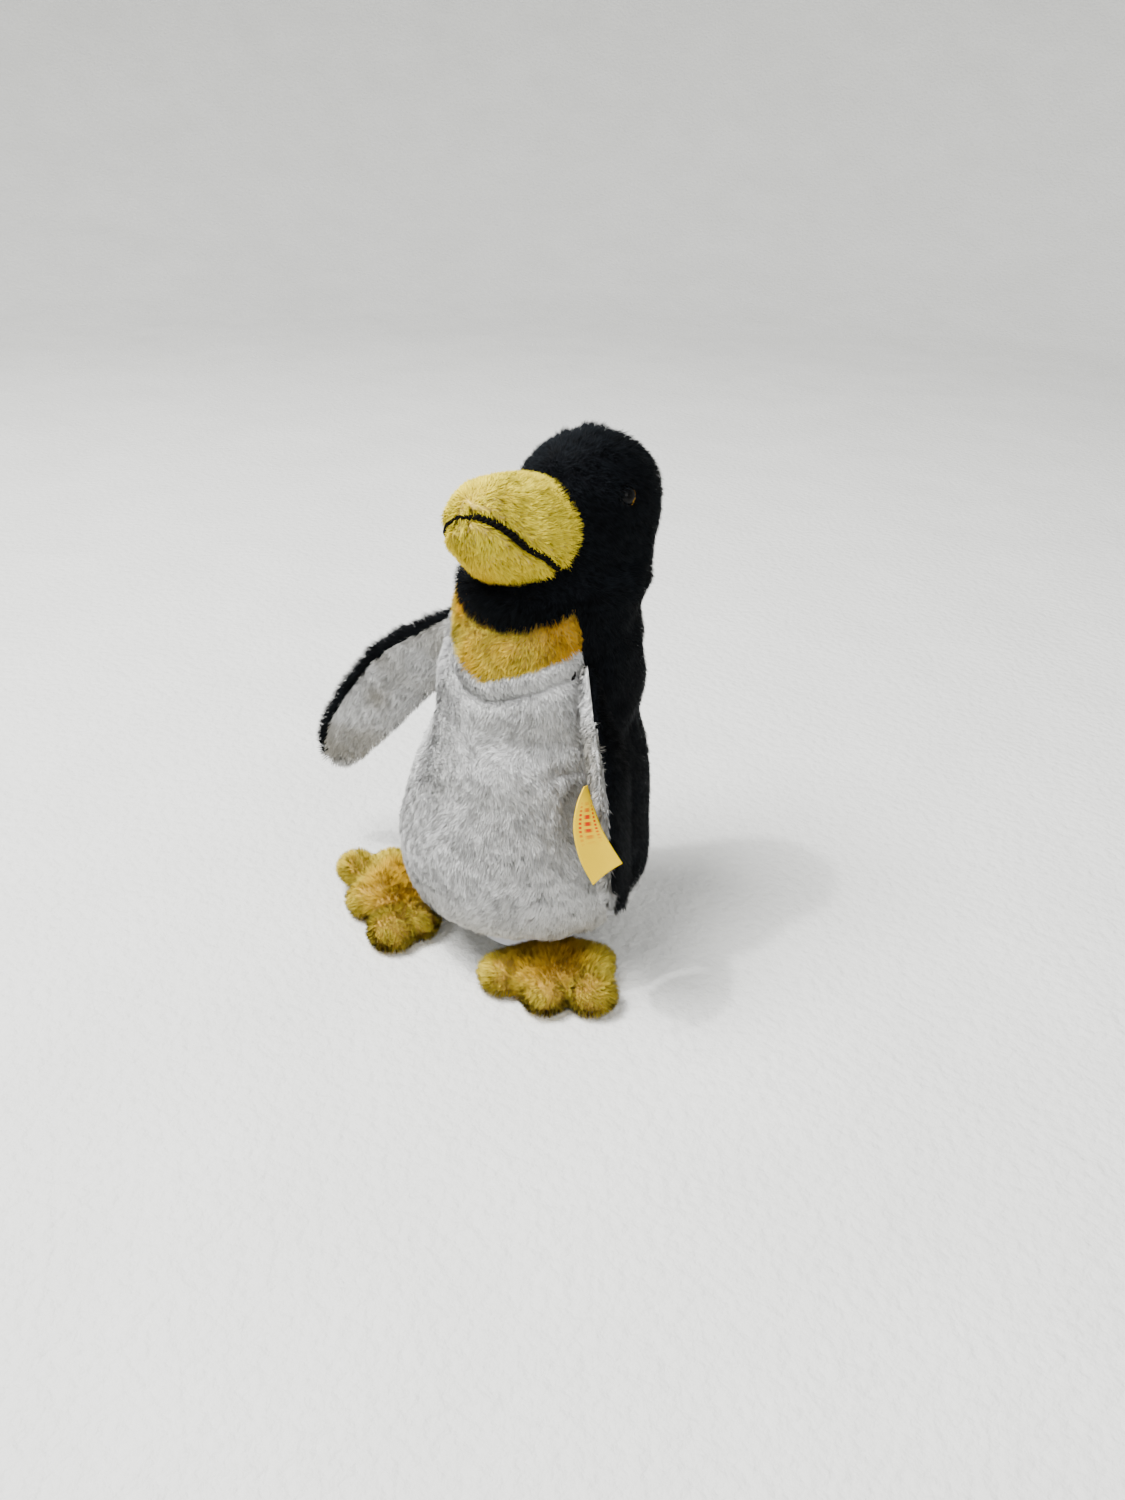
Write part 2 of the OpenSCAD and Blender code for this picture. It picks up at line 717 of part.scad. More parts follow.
module foot_top_skin(lift) {
    color(golden_pile)
        foot_shell(foot_h, foot_mid + 0.2, skin_t, foot_h - skin_t, foot_mid + 0.2, lift, false);
}

module foot_sole_skin(lift) {
    sole_t = 2;
    color(golden_pile) foot_shell(0, foot_mid, skin_t, sole_t, foot_mid, lift, true);
}

module foot_fill(lift) {
    low = 2.9;
    high = foot_h - skin_t - 1.1;
    color(fibre) lump(48, 2, function (u, v)
        let (level = v < 0.4 ? low : v < 0.9 ? foot_mid + 0.1 : high, pull = v > 0.4 && v < 0.9 ? 0 : 7)
        foot_point(180 - 360 * u, 1, skin_t + 0.6 + pull, level, level, lift));
}

module foot_left_top() {
    at_foot(1) foot_top_skin(0);
}

module foot_left_sole() {
    at_foot(1) foot_sole_skin(0);
}

module foot_left_stuffing() {
    at_foot(1) foot_fill(0);
}

module foot_right_top() {
    at_foot(-1) foot_top_skin(right_toe_lift);
}

module foot_right_sole() {
    at_foot(-1) foot_sole_skin(right_toe_lift);
}

module foot_right_stuffing() {
    at_foot(-1) foot_fill(right_toe_lift);
}

belly_panel();
throat_patch();
back_panel_left();
back_panel_right();
base_panel();
body_stuffing();
pellet_bag();
pellets();
chin_band();
head_panel_left();
head_panel_right();
head_stuffing();
beak_upper();
beak_lower();
beak_stuffing();
mouth_thread();
eye_left();
eye_right();
eye_washer_left();
eye_washer_right();
flipper_left_outer();
flipper_left_inner();
flipper_left_stuffing();
ribbon_tag();
flipper_right_outer();
flipper_right_inner();
flipper_right_stuffing();
foot_left_top();
foot_left_sole();
foot_left_stuffing();
foot_right_top();
foot_right_sole();
foot_right_stuffing();
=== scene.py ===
# Plush penguin: sewn pile-fabric skins, real pile, bead eyes and a ribbon tag, over the CAD frame.
# The penguin faces -Y, its left side is +X, and it stands on z = 0. Sizes are in millimetres, apart
# from the camera, the lamps, the floor, the seam bands and the sizes inside materials: metres.
import math

import bmesh
import bpy
import numpy as np
from mathutils import Matrix


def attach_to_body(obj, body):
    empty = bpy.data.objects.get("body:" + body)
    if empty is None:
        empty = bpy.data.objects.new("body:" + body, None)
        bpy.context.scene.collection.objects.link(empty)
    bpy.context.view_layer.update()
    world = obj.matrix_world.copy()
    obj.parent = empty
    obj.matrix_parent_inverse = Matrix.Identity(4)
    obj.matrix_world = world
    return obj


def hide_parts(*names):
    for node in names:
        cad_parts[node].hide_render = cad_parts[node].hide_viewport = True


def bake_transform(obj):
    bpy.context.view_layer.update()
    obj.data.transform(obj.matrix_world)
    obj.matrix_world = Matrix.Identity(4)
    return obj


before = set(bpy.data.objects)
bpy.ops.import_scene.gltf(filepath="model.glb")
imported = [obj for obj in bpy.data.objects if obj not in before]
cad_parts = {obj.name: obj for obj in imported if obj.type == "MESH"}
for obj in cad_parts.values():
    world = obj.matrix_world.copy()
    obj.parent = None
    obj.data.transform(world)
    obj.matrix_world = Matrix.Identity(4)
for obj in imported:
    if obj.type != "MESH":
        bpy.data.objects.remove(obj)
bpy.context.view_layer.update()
MM = 0.001


# ---------------------------------------------------------------- camera
CAMERA_PLACE = (0.2417, -0.2352, 0.2641)
CAMERA_TURN, CAMERA_DOWN, CAMERA_ROLL = 44, 30, 1.7  # degrees
SENSOR, LENS = 36, 27.72


def make_camera():
    """Stands in front of the penguin's left side, a little above it, looking down."""
    azimuth, down, roll = (math.radians(angle) for angle in (CAMERA_TURN, CAMERA_DOWN, CAMERA_ROLL))
    right = np.array([math.cos(azimuth), math.sin(azimuth), 0])
    level = np.array([-math.sin(azimuth), math.cos(azimuth), 0])
    ahead = level * math.cos(down) - np.array([0, 0, math.sin(down)])
    below = np.cross(ahead, right)
    turned = right * math.cos(roll) - below * math.sin(roll)
    up = -(right * math.sin(roll) + below * math.cos(roll))
    camera = bpy.data.objects.new("camera", bpy.data.cameras.new("camera"))
    bpy.context.scene.collection.objects.link(camera)
    place = Matrix.Identity(4)
    for column, axis in enumerate((turned, up, -ahead)):
        for row in range(3):
            place[row][column] = axis[row]
    place.translation = CAMERA_PLACE
    camera.matrix_world = place
    camera.data.sensor_fit = "VERTICAL"
    camera.data.sensor_height = SENSOR
    camera.data.lens = LENS
    camera.data.clip_start = 0.01
    camera.data.dof.use_dof = False
    bpy.context.scene.camera = camera


make_camera()

# ---------------------------------------------------------------- smooth noise and curves
CELLS = 32
LATTICE = np.random.default_rng(5).uniform(-1, 1, (CELLS, CELLS, CELLS, 4))


def noise(points, size, offset=0.0):
    """Four smooth random fields at the points, each from -1 to 1, with features about size across."""
    scaled = points / size + offset
    cell = np.floor(scaled).astype(int)
    part = scaled - cell
    part = part * part * (3 - 2 * part)
    total = np.zeros(points.shape[:-1] + (4,))
    for corner in np.ndindex(2, 2, 2):
        corner = np.array(corner)
        weight = np.prod(np.where(corner, part, 1 - part), axis=-1)
        i = (cell + corner) % CELLS
        total += weight[..., None] * LATTICE[i[..., 0], i[..., 1], i[..., 2]]
    return total


def mix(a, b, t):
    """From a to b as t goes from 0 to 1."""
    return a + (b - a) * t


def ease(x, low, high):
    """0 below low, 1 above high, and a smooth step between."""
    t = np.clip((x - low) / (high - low), 0, 1)
    return t * t * (3 - 2 * t)


def bell(x, middle, width):
    """1 at the middle, falling off over the width on both sides."""
    return np.exp(-(((x - middle) / width) ** 2))


def smooth(table, x, column):
    """Smooth value of a column of the table at x, by Hermite curves through its rows."""
    table = np.asarray(table, float)
    xs, ys = table[:, 0], table[:, column]
    count = len(xs)
    low, high = np.maximum(np.arange(count) - 1, 0), np.minimum(np.arange(count) + 1, count - 1)
    slopes = (ys[high] - ys[low]) / (xs[high] - xs[low])
    i = np.clip(np.searchsorted(xs, x, side="right") - 1, 0, count - 2)
    h = xs[i + 1] - xs[i]
    t = np.clip((x - xs[i]) / h, 0, 1)
    return (
        (2 * t**3 - 3 * t**2 + 1) * ys[i]
        + (t**3 - 2 * t**2 + t) * slopes[i] * h
        + (3 * t**2 - 2 * t**3) * ys[i + 1]
        + (t**3 - t**2) * slopes[i + 1] * h
    )


def unit(v):
    """The vectors, each with length 1."""
    return v / np.maximum(np.linalg.norm(v, axis=-1, keepdims=True), 1e-9)


# ---------------------------------------------------------------- surfaces
class Surface:
    """Triangles with smooth normals, and values at each vertex that the pile can read."""

    def __init__(self, points, faces, **values):
        self.points = np.asarray(points, float)
        faces = np.asarray(faces)
        if faces.shape[1] == 4:
            faces = np.concatenate([faces[:, [0, 1, 2]], faces[:, [0, 2, 3]]])
        self.faces = faces
        self.values = values
        corners = self.points[faces]
        flat = np.cross(corners[:, 1] - corners[:, 0], corners[:, 2] - corners[:, 0])
        self.areas = np.linalg.norm(flat, axis=1) / 2
        normals = np.zeros_like(self.points)
        for k in range(3):
            np.add.at(normals, faces[:, k], flat)
        self.normals = unit(normals)

    def part(self, keep):
        """The same surface with only some faces."""
        piece = Surface.__new__(Surface)
        piece.points, piece.normals, piece.values = self.points, self.normals, self.values
        piece.faces, piece.areas = self.faces[keep], self.areas[keep]
        return piece

    def face_value(self, name):
        """A kept value at the middle of each face."""
        return self.values[name][self.faces].mean(axis=1)

    def sample(self, per_mm2, rng):
        """Random roots spread evenly over the faces: points, normals and values."""
        count = int(self.areas.sum() * per_mm2)
        chosen = rng.choice(len(self.faces), count, p=self.areas / self.areas.sum())
        a, b = rng.random(count), rng.random(count)
        flip = a + b > 1
        a[flip], b[flip] = 1 - a[flip], 1 - b[flip]
        weights = np.stack([1 - a - b, a, b], 1)
        corners = self.faces[chosen]

        def blend(values):
            return np.einsum("ij,ij...->i...", weights, values[corners])

        return (
            blend(self.points),
            unit(blend(self.normals)),
            {name: blend(v) for name, v in self.values.items()},
        )


def grid_faces(rows, columns, closed=False):
    """Quads of a grid of points, row by row; closed joins the last column to the first."""
    last = columns if closed else columns - 1
    j, i = np.meshgrid(np.arange(rows - 1), np.arange(last), indexing="ij")
    a, b = j * columns + i, j * columns + (i + 1) % columns
    return np.stack([a, b, b + columns, a + columns], -1).reshape(-1, 4)


def new_object(name, points, faces):
    """A mesh object from points in millimetres."""
    mesh = bpy.data.meshes.new(name)
    faces = np.asarray(faces)
    per = faces.shape[1]
    mesh.vertices.add(len(points))
    mesh.vertices.foreach_set("co", (np.asarray(points) * MM).astype(np.float32).ravel())
    mesh.loops.add(faces.size)
    mesh.loops.foreach_set("vertex_index", faces.astype(np.int32).ravel())
    mesh.polygons.add(len(faces))
    mesh.polygons.foreach_set("loop_start", np.arange(0, faces.size, per, dtype=np.int32))
    mesh.polygons.foreach_set("use_smooth", np.full(len(faces), True))
    mesh.update(calc_edges=True)
    obj = bpy.data.objects.new(name, mesh)
    bpy.context.scene.collection.objects.link(obj)
    return obj


# ---------------------------------------------------------------- shader helpers
class Sock:
    """A shader value that can stand in a sum or a product: each step adds a Math node."""

    def __init__(self, shader, value):
        self.shader, self.value = shader, value

    def _math(self, operation, a, b):
        return self.shader.node("ShaderNodeMath", {"operation": operation}, a, b)

    def __add__(self, other):
        return self._math("ADD", self, other)

    def __radd__(self, other):
        return self._math("ADD", other, self)

    def __sub__(self, other):
        return self._math("SUBTRACT", self, other)

    def __rsub__(self, other):
        return self._math("SUBTRACT", other, self)

    def __mul__(self, other):
        return self._math("MULTIPLY", self, other)

    def __rmul__(self, other):
        return self._math("MULTIPLY", other, self)

    def __truediv__(self, other):
        return self._math("DIVIDE", self, other)

    def __rtruediv__(self, other):
        return self._math("DIVIDE", other, self)

    def clamp(self):
        return self.shader.node("ShaderNodeClamp", {}, self, 0, 1)


class Shader:
    """One material: its nodes, and the sockets of its Principled surface."""

    def __init__(self, name, **fixed):
        self.material = bpy.data.materials.new(name)
        self.material.use_nodes = True
        self.tree = self.material.node_tree
        self.surface = self.tree.nodes["Principled BSDF"]
        for key, value in fixed.items():
            self.surface.inputs[key.replace("_", " ")].default_value = value

    def node(self, kind, settings, *inputs, out=0):
        """Adds a node; inputs are values or sockets in order, or (name, value) pairs. None leaves
        an input as it is."""
        made = self.tree.nodes.new(kind)
        for key, value in settings.items():
            setattr(made, key, value)
        for i, given in enumerate(inputs):
            key = i
            if isinstance(given, tuple) and len(given) == 2 and isinstance(given[0], str):
                key, given = given
            if isinstance(given, Sock):
                self.tree.links.new(given.value, made.inputs[key])
            elif given is not None:
                made.inputs[key].default_value = given
        return Sock(self, made.outputs[out])

    def attribute(self, name, out=2):
        return self.node("ShaderNodeAttribute", {"attribute_name": name}, out=out)

    def place(self):
        return self.node("ShaderNodeTexCoord", {}, out=3)

    def noise(self, where, scale, detail=2.0):
        return self.node("ShaderNodeTexNoise", {}, where, None, scale, detail)

    def colour(self, factor, a, b, how="MIX"):
        made = self.tree.nodes.new("ShaderNodeMix")
        made.data_type, made.blend_type = "RGBA", how
        for socket, given in zip((made.inputs[0], made.inputs[6], made.inputs[7]), (factor, a, b)):
            if isinstance(given, Sock):
                self.tree.links.new(given.value, socket)
            elif hasattr(given, "__len__"):
                socket.default_value = tuple(given)[:3] + (1,)
            else:
                socket.default_value = given
        return Sock(self, made.outputs[2])

    def bump(self, height, strength, distance):
        return self.node(
            "ShaderNodeBump", {}, ("Strength", strength), ("Distance", distance), ("Height", height)
        )

    def set(self, key, socket):
        self.tree.links.new(socket.value, self.surface.inputs[key])


def pile_material(name, root, tip, patch_and_shade_colour, roughness=0.8, specular=0.05):
    """Pile strands: dark at the root, which is painted shade deep in the pile, light at the tip, each
    a little different, and with a second colour in random patches and, on the belly and beak, as
    painted shade."""
    pile = Shader(name, Roughness=roughness, Specular_IOR_Level=specular)
    # the darker root colour is painted shade deep in the pile
    colour = pile.colour(pile.attribute("along").clamp(), root, tip)
    # the second colour: random patches, and painted shade on the belly and beak
    colour = pile.colour(pile.attribute("patch").clamp(), colour, patch_and_shade_colour)
    dim = pile.colour(1.0, colour, (0.88, 0.88, 0.88), "MULTIPLY")
    pile.set("Base Color", pile.colour(pile.attribute("shade"), dim, colour))
    pile.set("Normal", pile.attribute("lay", out=1))
    return pile.material


def cloth_material(name, colour, dark):
    """The knitted backing under the pile."""
    cloth = Shader(name, Roughness=0.95, Specular_IOR_Level=0.1)
    knit = cloth.noise(cloth.place(), 900.0, 3.0)
    cloth.set("Base Color", cloth.colour(knit, dark, colour))
    cloth.set("Normal", cloth.bump(knit, 0.4, 0.0004))
    return cloth.material


# ---------------------------------------------------------------- pile
UPRIGHT, FLATTEST = 0.05, 1.35  # least and greatest lean of a strand, in radians
STRAND = 5  # points in a strand: two at the root, two halfway and the tip
HALFWAY_SIDE = 0.42  # from the middle line to a halfway point, as a share of the root's width


def grow(name, surface, per_mm2, length, lean, comb, material, body, seed, thick=0.2, clump=0.5,
         swirl=0.9, droop=0.45, skip=None, patch=None, length_of=None):
    """Sows tapered strands over a surface. comb(points, normals, values) gives the direction they
    lie in, skip where none grow, patch the share of the second colour, and length_of a factor on
    their length. clump draws the tips together, swirl turns them off the comb, droop bends them."""
    rng = np.random.default_rng(seed)
    points, normals, values = surface.sample(per_mm2, rng)
    if skip is not None:
        keep = ~skip(points, values)
        points, normals = points[keep], normals[keep]
        values = {k: v[keep] for k, v in values.items()}
    count = len(points)
    wave, fine = noise(points, 11.0), noise(points, 2.0, 0.37)
    tangent = comb(points, normals, values)
    tangent = unit(tangent - normals * (tangent * normals).sum(1)[:, None])
    across = np.cross(normals, tangent)
    turn = swirl * wave[:, 0] + 0.3 * noise(points, 4.5, 0.71)[:, 1]
    turn = turn + rng.normal(0, 0.18, count)
    way = tangent * np.cos(turn)[:, None] + across * np.sin(turn)[:, None]
    tilt = lean + 0.12 * wave[:, 2] + 0.16 * fine[:, 2] + rng.normal(0, 0.12, count)
    tilt = np.clip(tilt, UPRIGHT, FLATTEST)
    reach = length * (0.78 + 0.34 * rng.random(count)) * (1 + 0.12 * fine[:, 3])
    if length_of is not None:
        reach = reach * length_of(points, values)
    first, second = tilt * (1 - droop), tilt * (1 + droop)
    half = reach[:, None] * 0.5
    tuft = fine[:, :3] - normals * (fine[:, :3] * normals).sum(1)[:, None]
    rise = normals * np.cos(first)[:, None] + way * np.sin(first)[:, None]
    fall = normals * np.cos(second)[:, None] + way * np.sin(second)[:, None]
    middle = points + half * rise + tuft * clump * 0.35
    tip = middle + half * fall + tuft * clump
    flat = unit(np.cross(rise, normals))
    roll = rng.normal(0, 0.5, count)[:, None]
    side = flat * np.cos(roll) + np.cross(rise, flat) * np.sin(roll)
    width = thick * (0.8 + 0.4 * rng.random(count))[:, None]
    strands = np.stack(
        [points - side * width / 2, points + side * width / 2,
         middle + side * width * HALFWAY_SIDE, middle - side * width * HALFWAY_SIDE, tip], 1,
    )
    first_point = np.arange(count)[:, None] * STRAND
    faces = np.concatenate([first_point + tri for tri in ([0, 1, 2], [0, 2, 3], [3, 2, 4])], 1)
    obj = new_object(name, strands.reshape(-1, 3), faces.reshape(-1, 3))
    lay = unit(normals + 0.4 * tuft + 0.22 * rng.normal(size=(count, 3)) + 0.2 * way)
    tint = np.zeros(count) if patch is None else patch(points, normals, values)
    spread = {
        "along": np.tile([0, 0, 0.6, 0.6, 1.0], count),
        "shade": np.repeat(rng.random(count), STRAND),
        "patch": np.repeat(np.clip(tint, 0, 1), STRAND),
    }
    for key, data in spread.items():
        obj.data.attributes.new(key, "FLOAT", "POINT").data.foreach_set(
            "value", data.astype(np.float32)
        )
    obj.data.attributes.new("lay", "FLOAT_VECTOR", "POINT").data.foreach_set(
        "vector", np.repeat(lay, STRAND, axis=0).astype(np.float32).ravel()
    )
    obj.data.materials.append(material)
    attach(obj, body)
    return obj


# Bands at the flippers' seams, in metres: from the first body's end to the second's
SEAMS = {
    "flipper_left": {"start": (0.0355, 0, 0), "end": (0.043, 0, 0)},
    "flipper_right": {"start": (-0.0355, 0, 0), "end": (-0.048, 0, 0)},
}


def attach(obj, body):
    """Rides on a body, or, at the neck and where a flipper is sewn in, has its place baked into its
    points.
    """
    if body == "neck":
        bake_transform(obj)
    elif body in SEAMS:
        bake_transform(obj)
    else:
        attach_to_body(obj, body)


def skin(name, surface, material, body, nodes, sink=0.25):
    """The cloth under the pile, as its own piece."""
    used, inverse = np.unique(surface.faces, return_inverse=True)
    points = surface.points[used] - surface.normals[used] * sink
    obj = new_object(name, points, inverse.reshape(-1, 3))
    obj.data.materials.append(material)
    attach(obj, body)
    if nodes:
        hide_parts(*nodes)
    return obj


# ---------------------------------------------------------------- body and head
PILE = 2.3  # how far the cloth lies below the tips of the pile
NECK_Z = 124.0
HULL = [  # height, half width, reach to the front (-), reach to the back
    [0, 23, -8, 26],
    [5.4, 26, -9, 30],
    [12, 27, -9.5, 32],
    [14.5, 35.7, -31, 37.6],
    [20, 40, -40, 39.2],
    [30.5, 42.5, -44.8, 40],
    [44.6, 42.5, -45.5, 40],
    [61.4, 40, -41, 39.6],
    [81.8, 36.3, -34.8, 39.6],
    [105, 33.5, -29.4, 39],
    [117, 31.7, -26.2, 39.2],
    [124, 30.7, -24.5, 40.4],
    [132, 29, -23.3, 42.8],
    [140.5, 26, -15.7, 45.8],
    [150, 24.4, -8.1, 48],
    [159, 22.1, -2, 47.3],
    [166.5, 16.9, 5.3, 42.2],
    [171.8, 9.9, 13, 34.6],
    [174, 1.9, 20.6, 26.4],
]


# Height, then the angle round from the front at which the white belly meets the black back
SIDE_SEAM = [[14, 90], [45, 88], [68, 86], [82, 82], [96, 75], [110, 69], [124, 64.5], [132, 61]]


def side_seam(z):
    """Angle round from the front of the side seam at a height."""
    return smooth(SIDE_SEAM, z, 1)


def throat_edge(a):
    """Height of the seam between the belly and the throat patch."""
    return 106.2 + 0.2 * np.sqrt((a - 8) ** 2 + 25)


def chin_edge(a):
    """Height of the seam between the throat patch and the chin band: it rises to both sides."""
    return 123.4 + 6.3 * np.minimum(((a - 11) / 49) ** 2, 1.2)


def back_edge(a):
    """Height of the lower seam of the black back."""
    return 27.0 - 6.0 * ease(np.abs(a), 120, 180)


def relief(a, z):
    """Folds and lumps of the stuffed body, outward in millimetres."""
    edge = throat_edge(a)
    front = bell(a, 18, 55)
    # The roll and the crease under the throat patch
    out = 0.7 * bell(z, edge - 2.2, 2.2) * front - 2.3 * bell(z, edge - 7, 2.3) * front
    # A hollow over a bulge on the upper belly, and creases beside the flippers
    out -= 2.6 * bell(z, 89, 6.5) * bell(a, 38, 32)
    out += 1.8 * bell(z, 76, 5) * bell(a, 22, 26)
    out -= 1.6 * bell(z, 78 + (a - 45) * 0.1, 2.2) * bell(a, 62, 16)
    out -= 1.2 * bell(z, 84, 9) * bell(a, -48, 20)
    # The neck, at the sides and the back
    out -= 1.5 * bell(z, 121, 5) * ease(np.abs(a), 75, 110)
    # Seams pull in: the side seams, the two edges of the throat patch and the back's middle
    seam = np.abs(np.abs(a) - side_seam(z))
    out -= 1.0 * bell(seam, 0, 4.5) * ease(z, 16, 30) * ease(136 - z, 0, 10)
    out -= 1.0 * bell(z, chin_edge(a), 1.8) * bell(a, 8, 50)
    out -= 0.8 * bell(z, edge, 1.3) * bell(a, 5, 50)
    out -= 0.7 * bell(np.abs(a), 180, 4) * ease(z, 25, 40)
    return out


ROWS_APART, COLUMNS_APART = 3, 4  # of the cloth's coarse grid, in rows and columns of the fine one
FRAMES = 20


def stuffed(points, pinned, slack, cap):
    """Blows up a grid of cloth, round in its columns and held where pinned, and returns how far
    each point moves, at most cap. A coarse copy of the grid is simulated."""
    rows, columns = pinned.shape
    kept = np.unique(np.r_[0:rows:ROWS_APART, rows - 1])
    coarse = points[kept][:, ::COLUMNS_APART]
    tall, wide = coarse.shape[:2]
    obj = new_object("cloth_form", coarse.reshape(-1, 3), grid_faces(tall, wide, closed=True))
    held = obj.vertex_groups.new(name="held")
    fixed = np.flatnonzero(pinned[kept][:, ::COLUMNS_APART].ravel())
    held.add(fixed.tolist(), 1.0, "REPLACE")
    cloth = obj.modifiers.new("cloth", "CLOTH")
    cloth.settings.quality = 5
    cloth.settings.mass = 0.2
    cloth.settings.tension_stiffness = cloth.settings.compression_stiffness = 12
    cloth.settings.bending_stiffness = 0.2
    cloth.settings.shrink_min = -slack
    cloth.settings.use_pressure = True
    cloth.settings.uniform_pressure_force = 4
    cloth.settings.vertex_group_mass = "held"
    cloth.settings.effector_weights.gravity = 0
    cloth.point_cache.frame_start, cloth.point_cache.frame_end = 1, FRAMES
    for frame_number in range(1, FRAMES + 1):
        bpy.context.scene.frame_set(frame_number)
    mesh = obj.evaluated_get(bpy.context.evaluated_depsgraph_get()).to_mesh()
    after = np.empty(len(mesh.vertices) * 3, np.float32)
    mesh.vertices.foreach_get("co", after)
    bpy.data.objects.remove(obj)
    bpy.context.scene.frame_set(1)
    moved = after.reshape(coarse.shape) / MM - coarse
    length = np.linalg.norm(moved, axis=-1, keepdims=True)
    moved = moved * np.minimum(1, cap / np.maximum(length, 1e-6))
    around = np.concatenate([moved, moved[:, :1]], 1)
    at = np.arange(columns) / COLUMNS_APART
    first = at.astype(int)
    spread = mix(around[:, first], around[:, first + 1], (at - first)[None, :, None])
    row = np.interp(np.arange(rows), kept, np.arange(tall))
    low = np.minimum(row.astype(int), tall - 2)
    full = mix(spread[low], spread[low + 1], (row - low)[:, None, None])
    for _ in range(3):
        full = (full + np.roll(full, 1, 1) + np.roll(full, -1, 1)) / 3
        full[1:-1] = (full[:-2] + full[1:-1] + full[2:]) / 3
    return full


def round_body():
    """The stuffed body and head as one closed surface, with its angle and height kept."""
    columns, rows = 200, 170
    turn = (np.arange(columns) / columns * 360) - 180
    # Rows lie closer together at the seat and the crown
    shares = [0, 0.03, 0.1, 0.16, 0.25, 0.85, 0.95, 1.0]
    heights = [0.4, 4, 11.8, 14.3, 20, 158, 170.5, 173.9]
    z = np.interp(np.arange(rows) / (rows - 1), shares, heights)
    a, z = np.meshgrid(turn, z)
    half, front, back = (smooth(HULL, z, k) for k in (1, 2, 3))
    reach = (back - front) / 2
    angle = np.radians(a)
    points = np.stack([half * np.sin(angle), (front + back) / 2 - reach * np.cos(angle), z], -1)
    faces = grid_faces(rows, columns, closed=True)
    shape = Surface(points.reshape(-1, 3), faces)
    lumps = noise(shape.points, 17.0, 0.2)[:, 0] * 0.7 + noise(shape.points, 8.0, 0.6)[:, 1] * 0.3
    still = ease(shape.points[:, 2], 12, 24)
    out = (relief(a, z).ravel() + lumps) * still - PILE
    moved = shape.points + shape.normals * out[:, None]
    edge = np.minimum.reduce([
        np.abs(np.abs(a) - side_seam(z)) * 0.6 + 50 * (z > 130), 180 - np.abs(a) + 20 * (z < 24),
        np.abs(z - throat_edge(a)) + 50 * (np.abs(a) > 75),
        np.abs(z - chin_edge(a)) + 50 * (np.abs(a) > 75),
    ])
    pinned = (edge < 1.6) | (z < 15) | (z > 171) | (np.abs(z - NECK_Z - 2) < 1.2)
    swell = stuffed(moved.reshape(rows, columns, 3), pinned, slack=0.03, cap=2.2)
    moved = moved + swell.reshape(-1, 3) - shape.normals * 0.5 * still[:, None]
    a, z = a.ravel(), z.ravel()
    moved[:, 2] = np.where(z < 12, np.maximum(moved[:, 2], 0.5), moved[:, 2])
    # Close the top and the underside with a fan of triangles each
    total = rows * columns
    first = np.arange(columns)
    step, last = np.roll(first, -1), total - columns
    fans = np.concatenate([
        np.stack([step, first, np.full(columns, total)], 1),
        np.stack([first + last, step + last, np.full(columns, total + 1)], 1),
    ])
    middles = np.stack([moved[:columns].mean(0), moved[last:].mean(0) + [0, 0, 0.3]])
    faces = np.concatenate([faces[:, [0, 1, 2]], faces[:, [0, 2, 3]], fans])
    a, z = np.r_[a, 90, 90], np.r_[z, 0.4, 174]
    return Surface(np.concatenate([moved, middles]), faces, a=a, z=z)


hull = round_body()
hull_a, hull_z = hull.face_value("a"), hull.face_value("z")
# The seam of angles at the back: a face there spans -180 and 180
spans = np.ptp(hull.values["a"][hull.faces], axis=1) > 180
hull_a = np.where(spans, 180, hull_a)


def down_comb(points, normals, values):
    """Pile that lies down the body."""
    return np.tile([0.0, 0.0, -1.0], (len(points), 1)) + 0.15 * normals


def head_comb(points, normals, values):
    """Pile that lies back and down from the forehead."""
    return np.tile([0.0, 0.55, -0.75], (len(points), 1))


def base_comb(points, normals, values):
    """Pile that lies level, round the seat."""
    return np.stack([-points[:, 1], points[:, 0], 0 * points[:, 0]], 1)


# The white pile's third colour is painted shade low on the belly, and random patches elsewhere
white = pile_material(
    "white_pile", (0.80, 0.795, 0.775), (0.95, 0.95, 0.935), (0.52, 0.49, 0.42), roughness=0.6,
    specular=0.2,
)
black = pile_material(
    "black_pile", (0.0012, 0.0016, 0.0022), (0.007, 0.0095, 0.0125), (0.003, 0.004, 0.0055),
    roughness=0.7, specular=0.07,
)
gold = pile_material(
    "golden_pile", (1.0, 0.60, 0.02), (1.0, 0.79, 0.09), (0.92, 0.44, 0.01)
)
# The yellow pile's third colour is painted shade under the beak, and random patches
yellow = pile_material(
    "yellow_pile", (0.98, 0.68, 0.01), (1.0, 0.83, 0.06), (0.70, 0.42, 0.012)
)
white_cloth = cloth_material("white_backing", (0.84, 0.84, 0.82), (0.74, 0.74, 0.72))
black_cloth = cloth_material("black_backing", (0.004, 0.005, 0.007), (0.002, 0.002, 0.003))
gold_cloth = cloth_material("golden_backing", (0.8, 0.5, 0.09), (0.66, 0.38, 0.06))
yellow_cloth = cloth_material("yellow_backing", (0.88, 0.68, 0.17), (0.74, 0.52, 0.1))

size_a = np.abs(hull_a)
seam = side_seam(hull_z)
in_front = size_a < seam
throat = in_front & (hull_z > throat_edge(hull_a)) & (hull_z < chin_edge(hull_a)) & (size_a < 75)
above_chin = in_front & (hull_z >= chin_edge(hull_a)) | ~in_front & (hull_z >= NECK_Z + 4)
chin_band = above_chin & (hull_z < 134) & (size_a < 74)
head = above_chin & ~chin_band
belly = in_front & (hull_z <= throat_edge(hull_a)) & (hull_z > 13.2)
back = ~in_front & (hull_z > back_edge(hull_a)) & ~above_chin
base = ~(throat | above_chin | belly | back)

EYE_A, EYE_Z = 82.0, 158.8  # angle round from the front, and height
EYE_CLEAR = 1.6  # no pile this near the middle of an eye


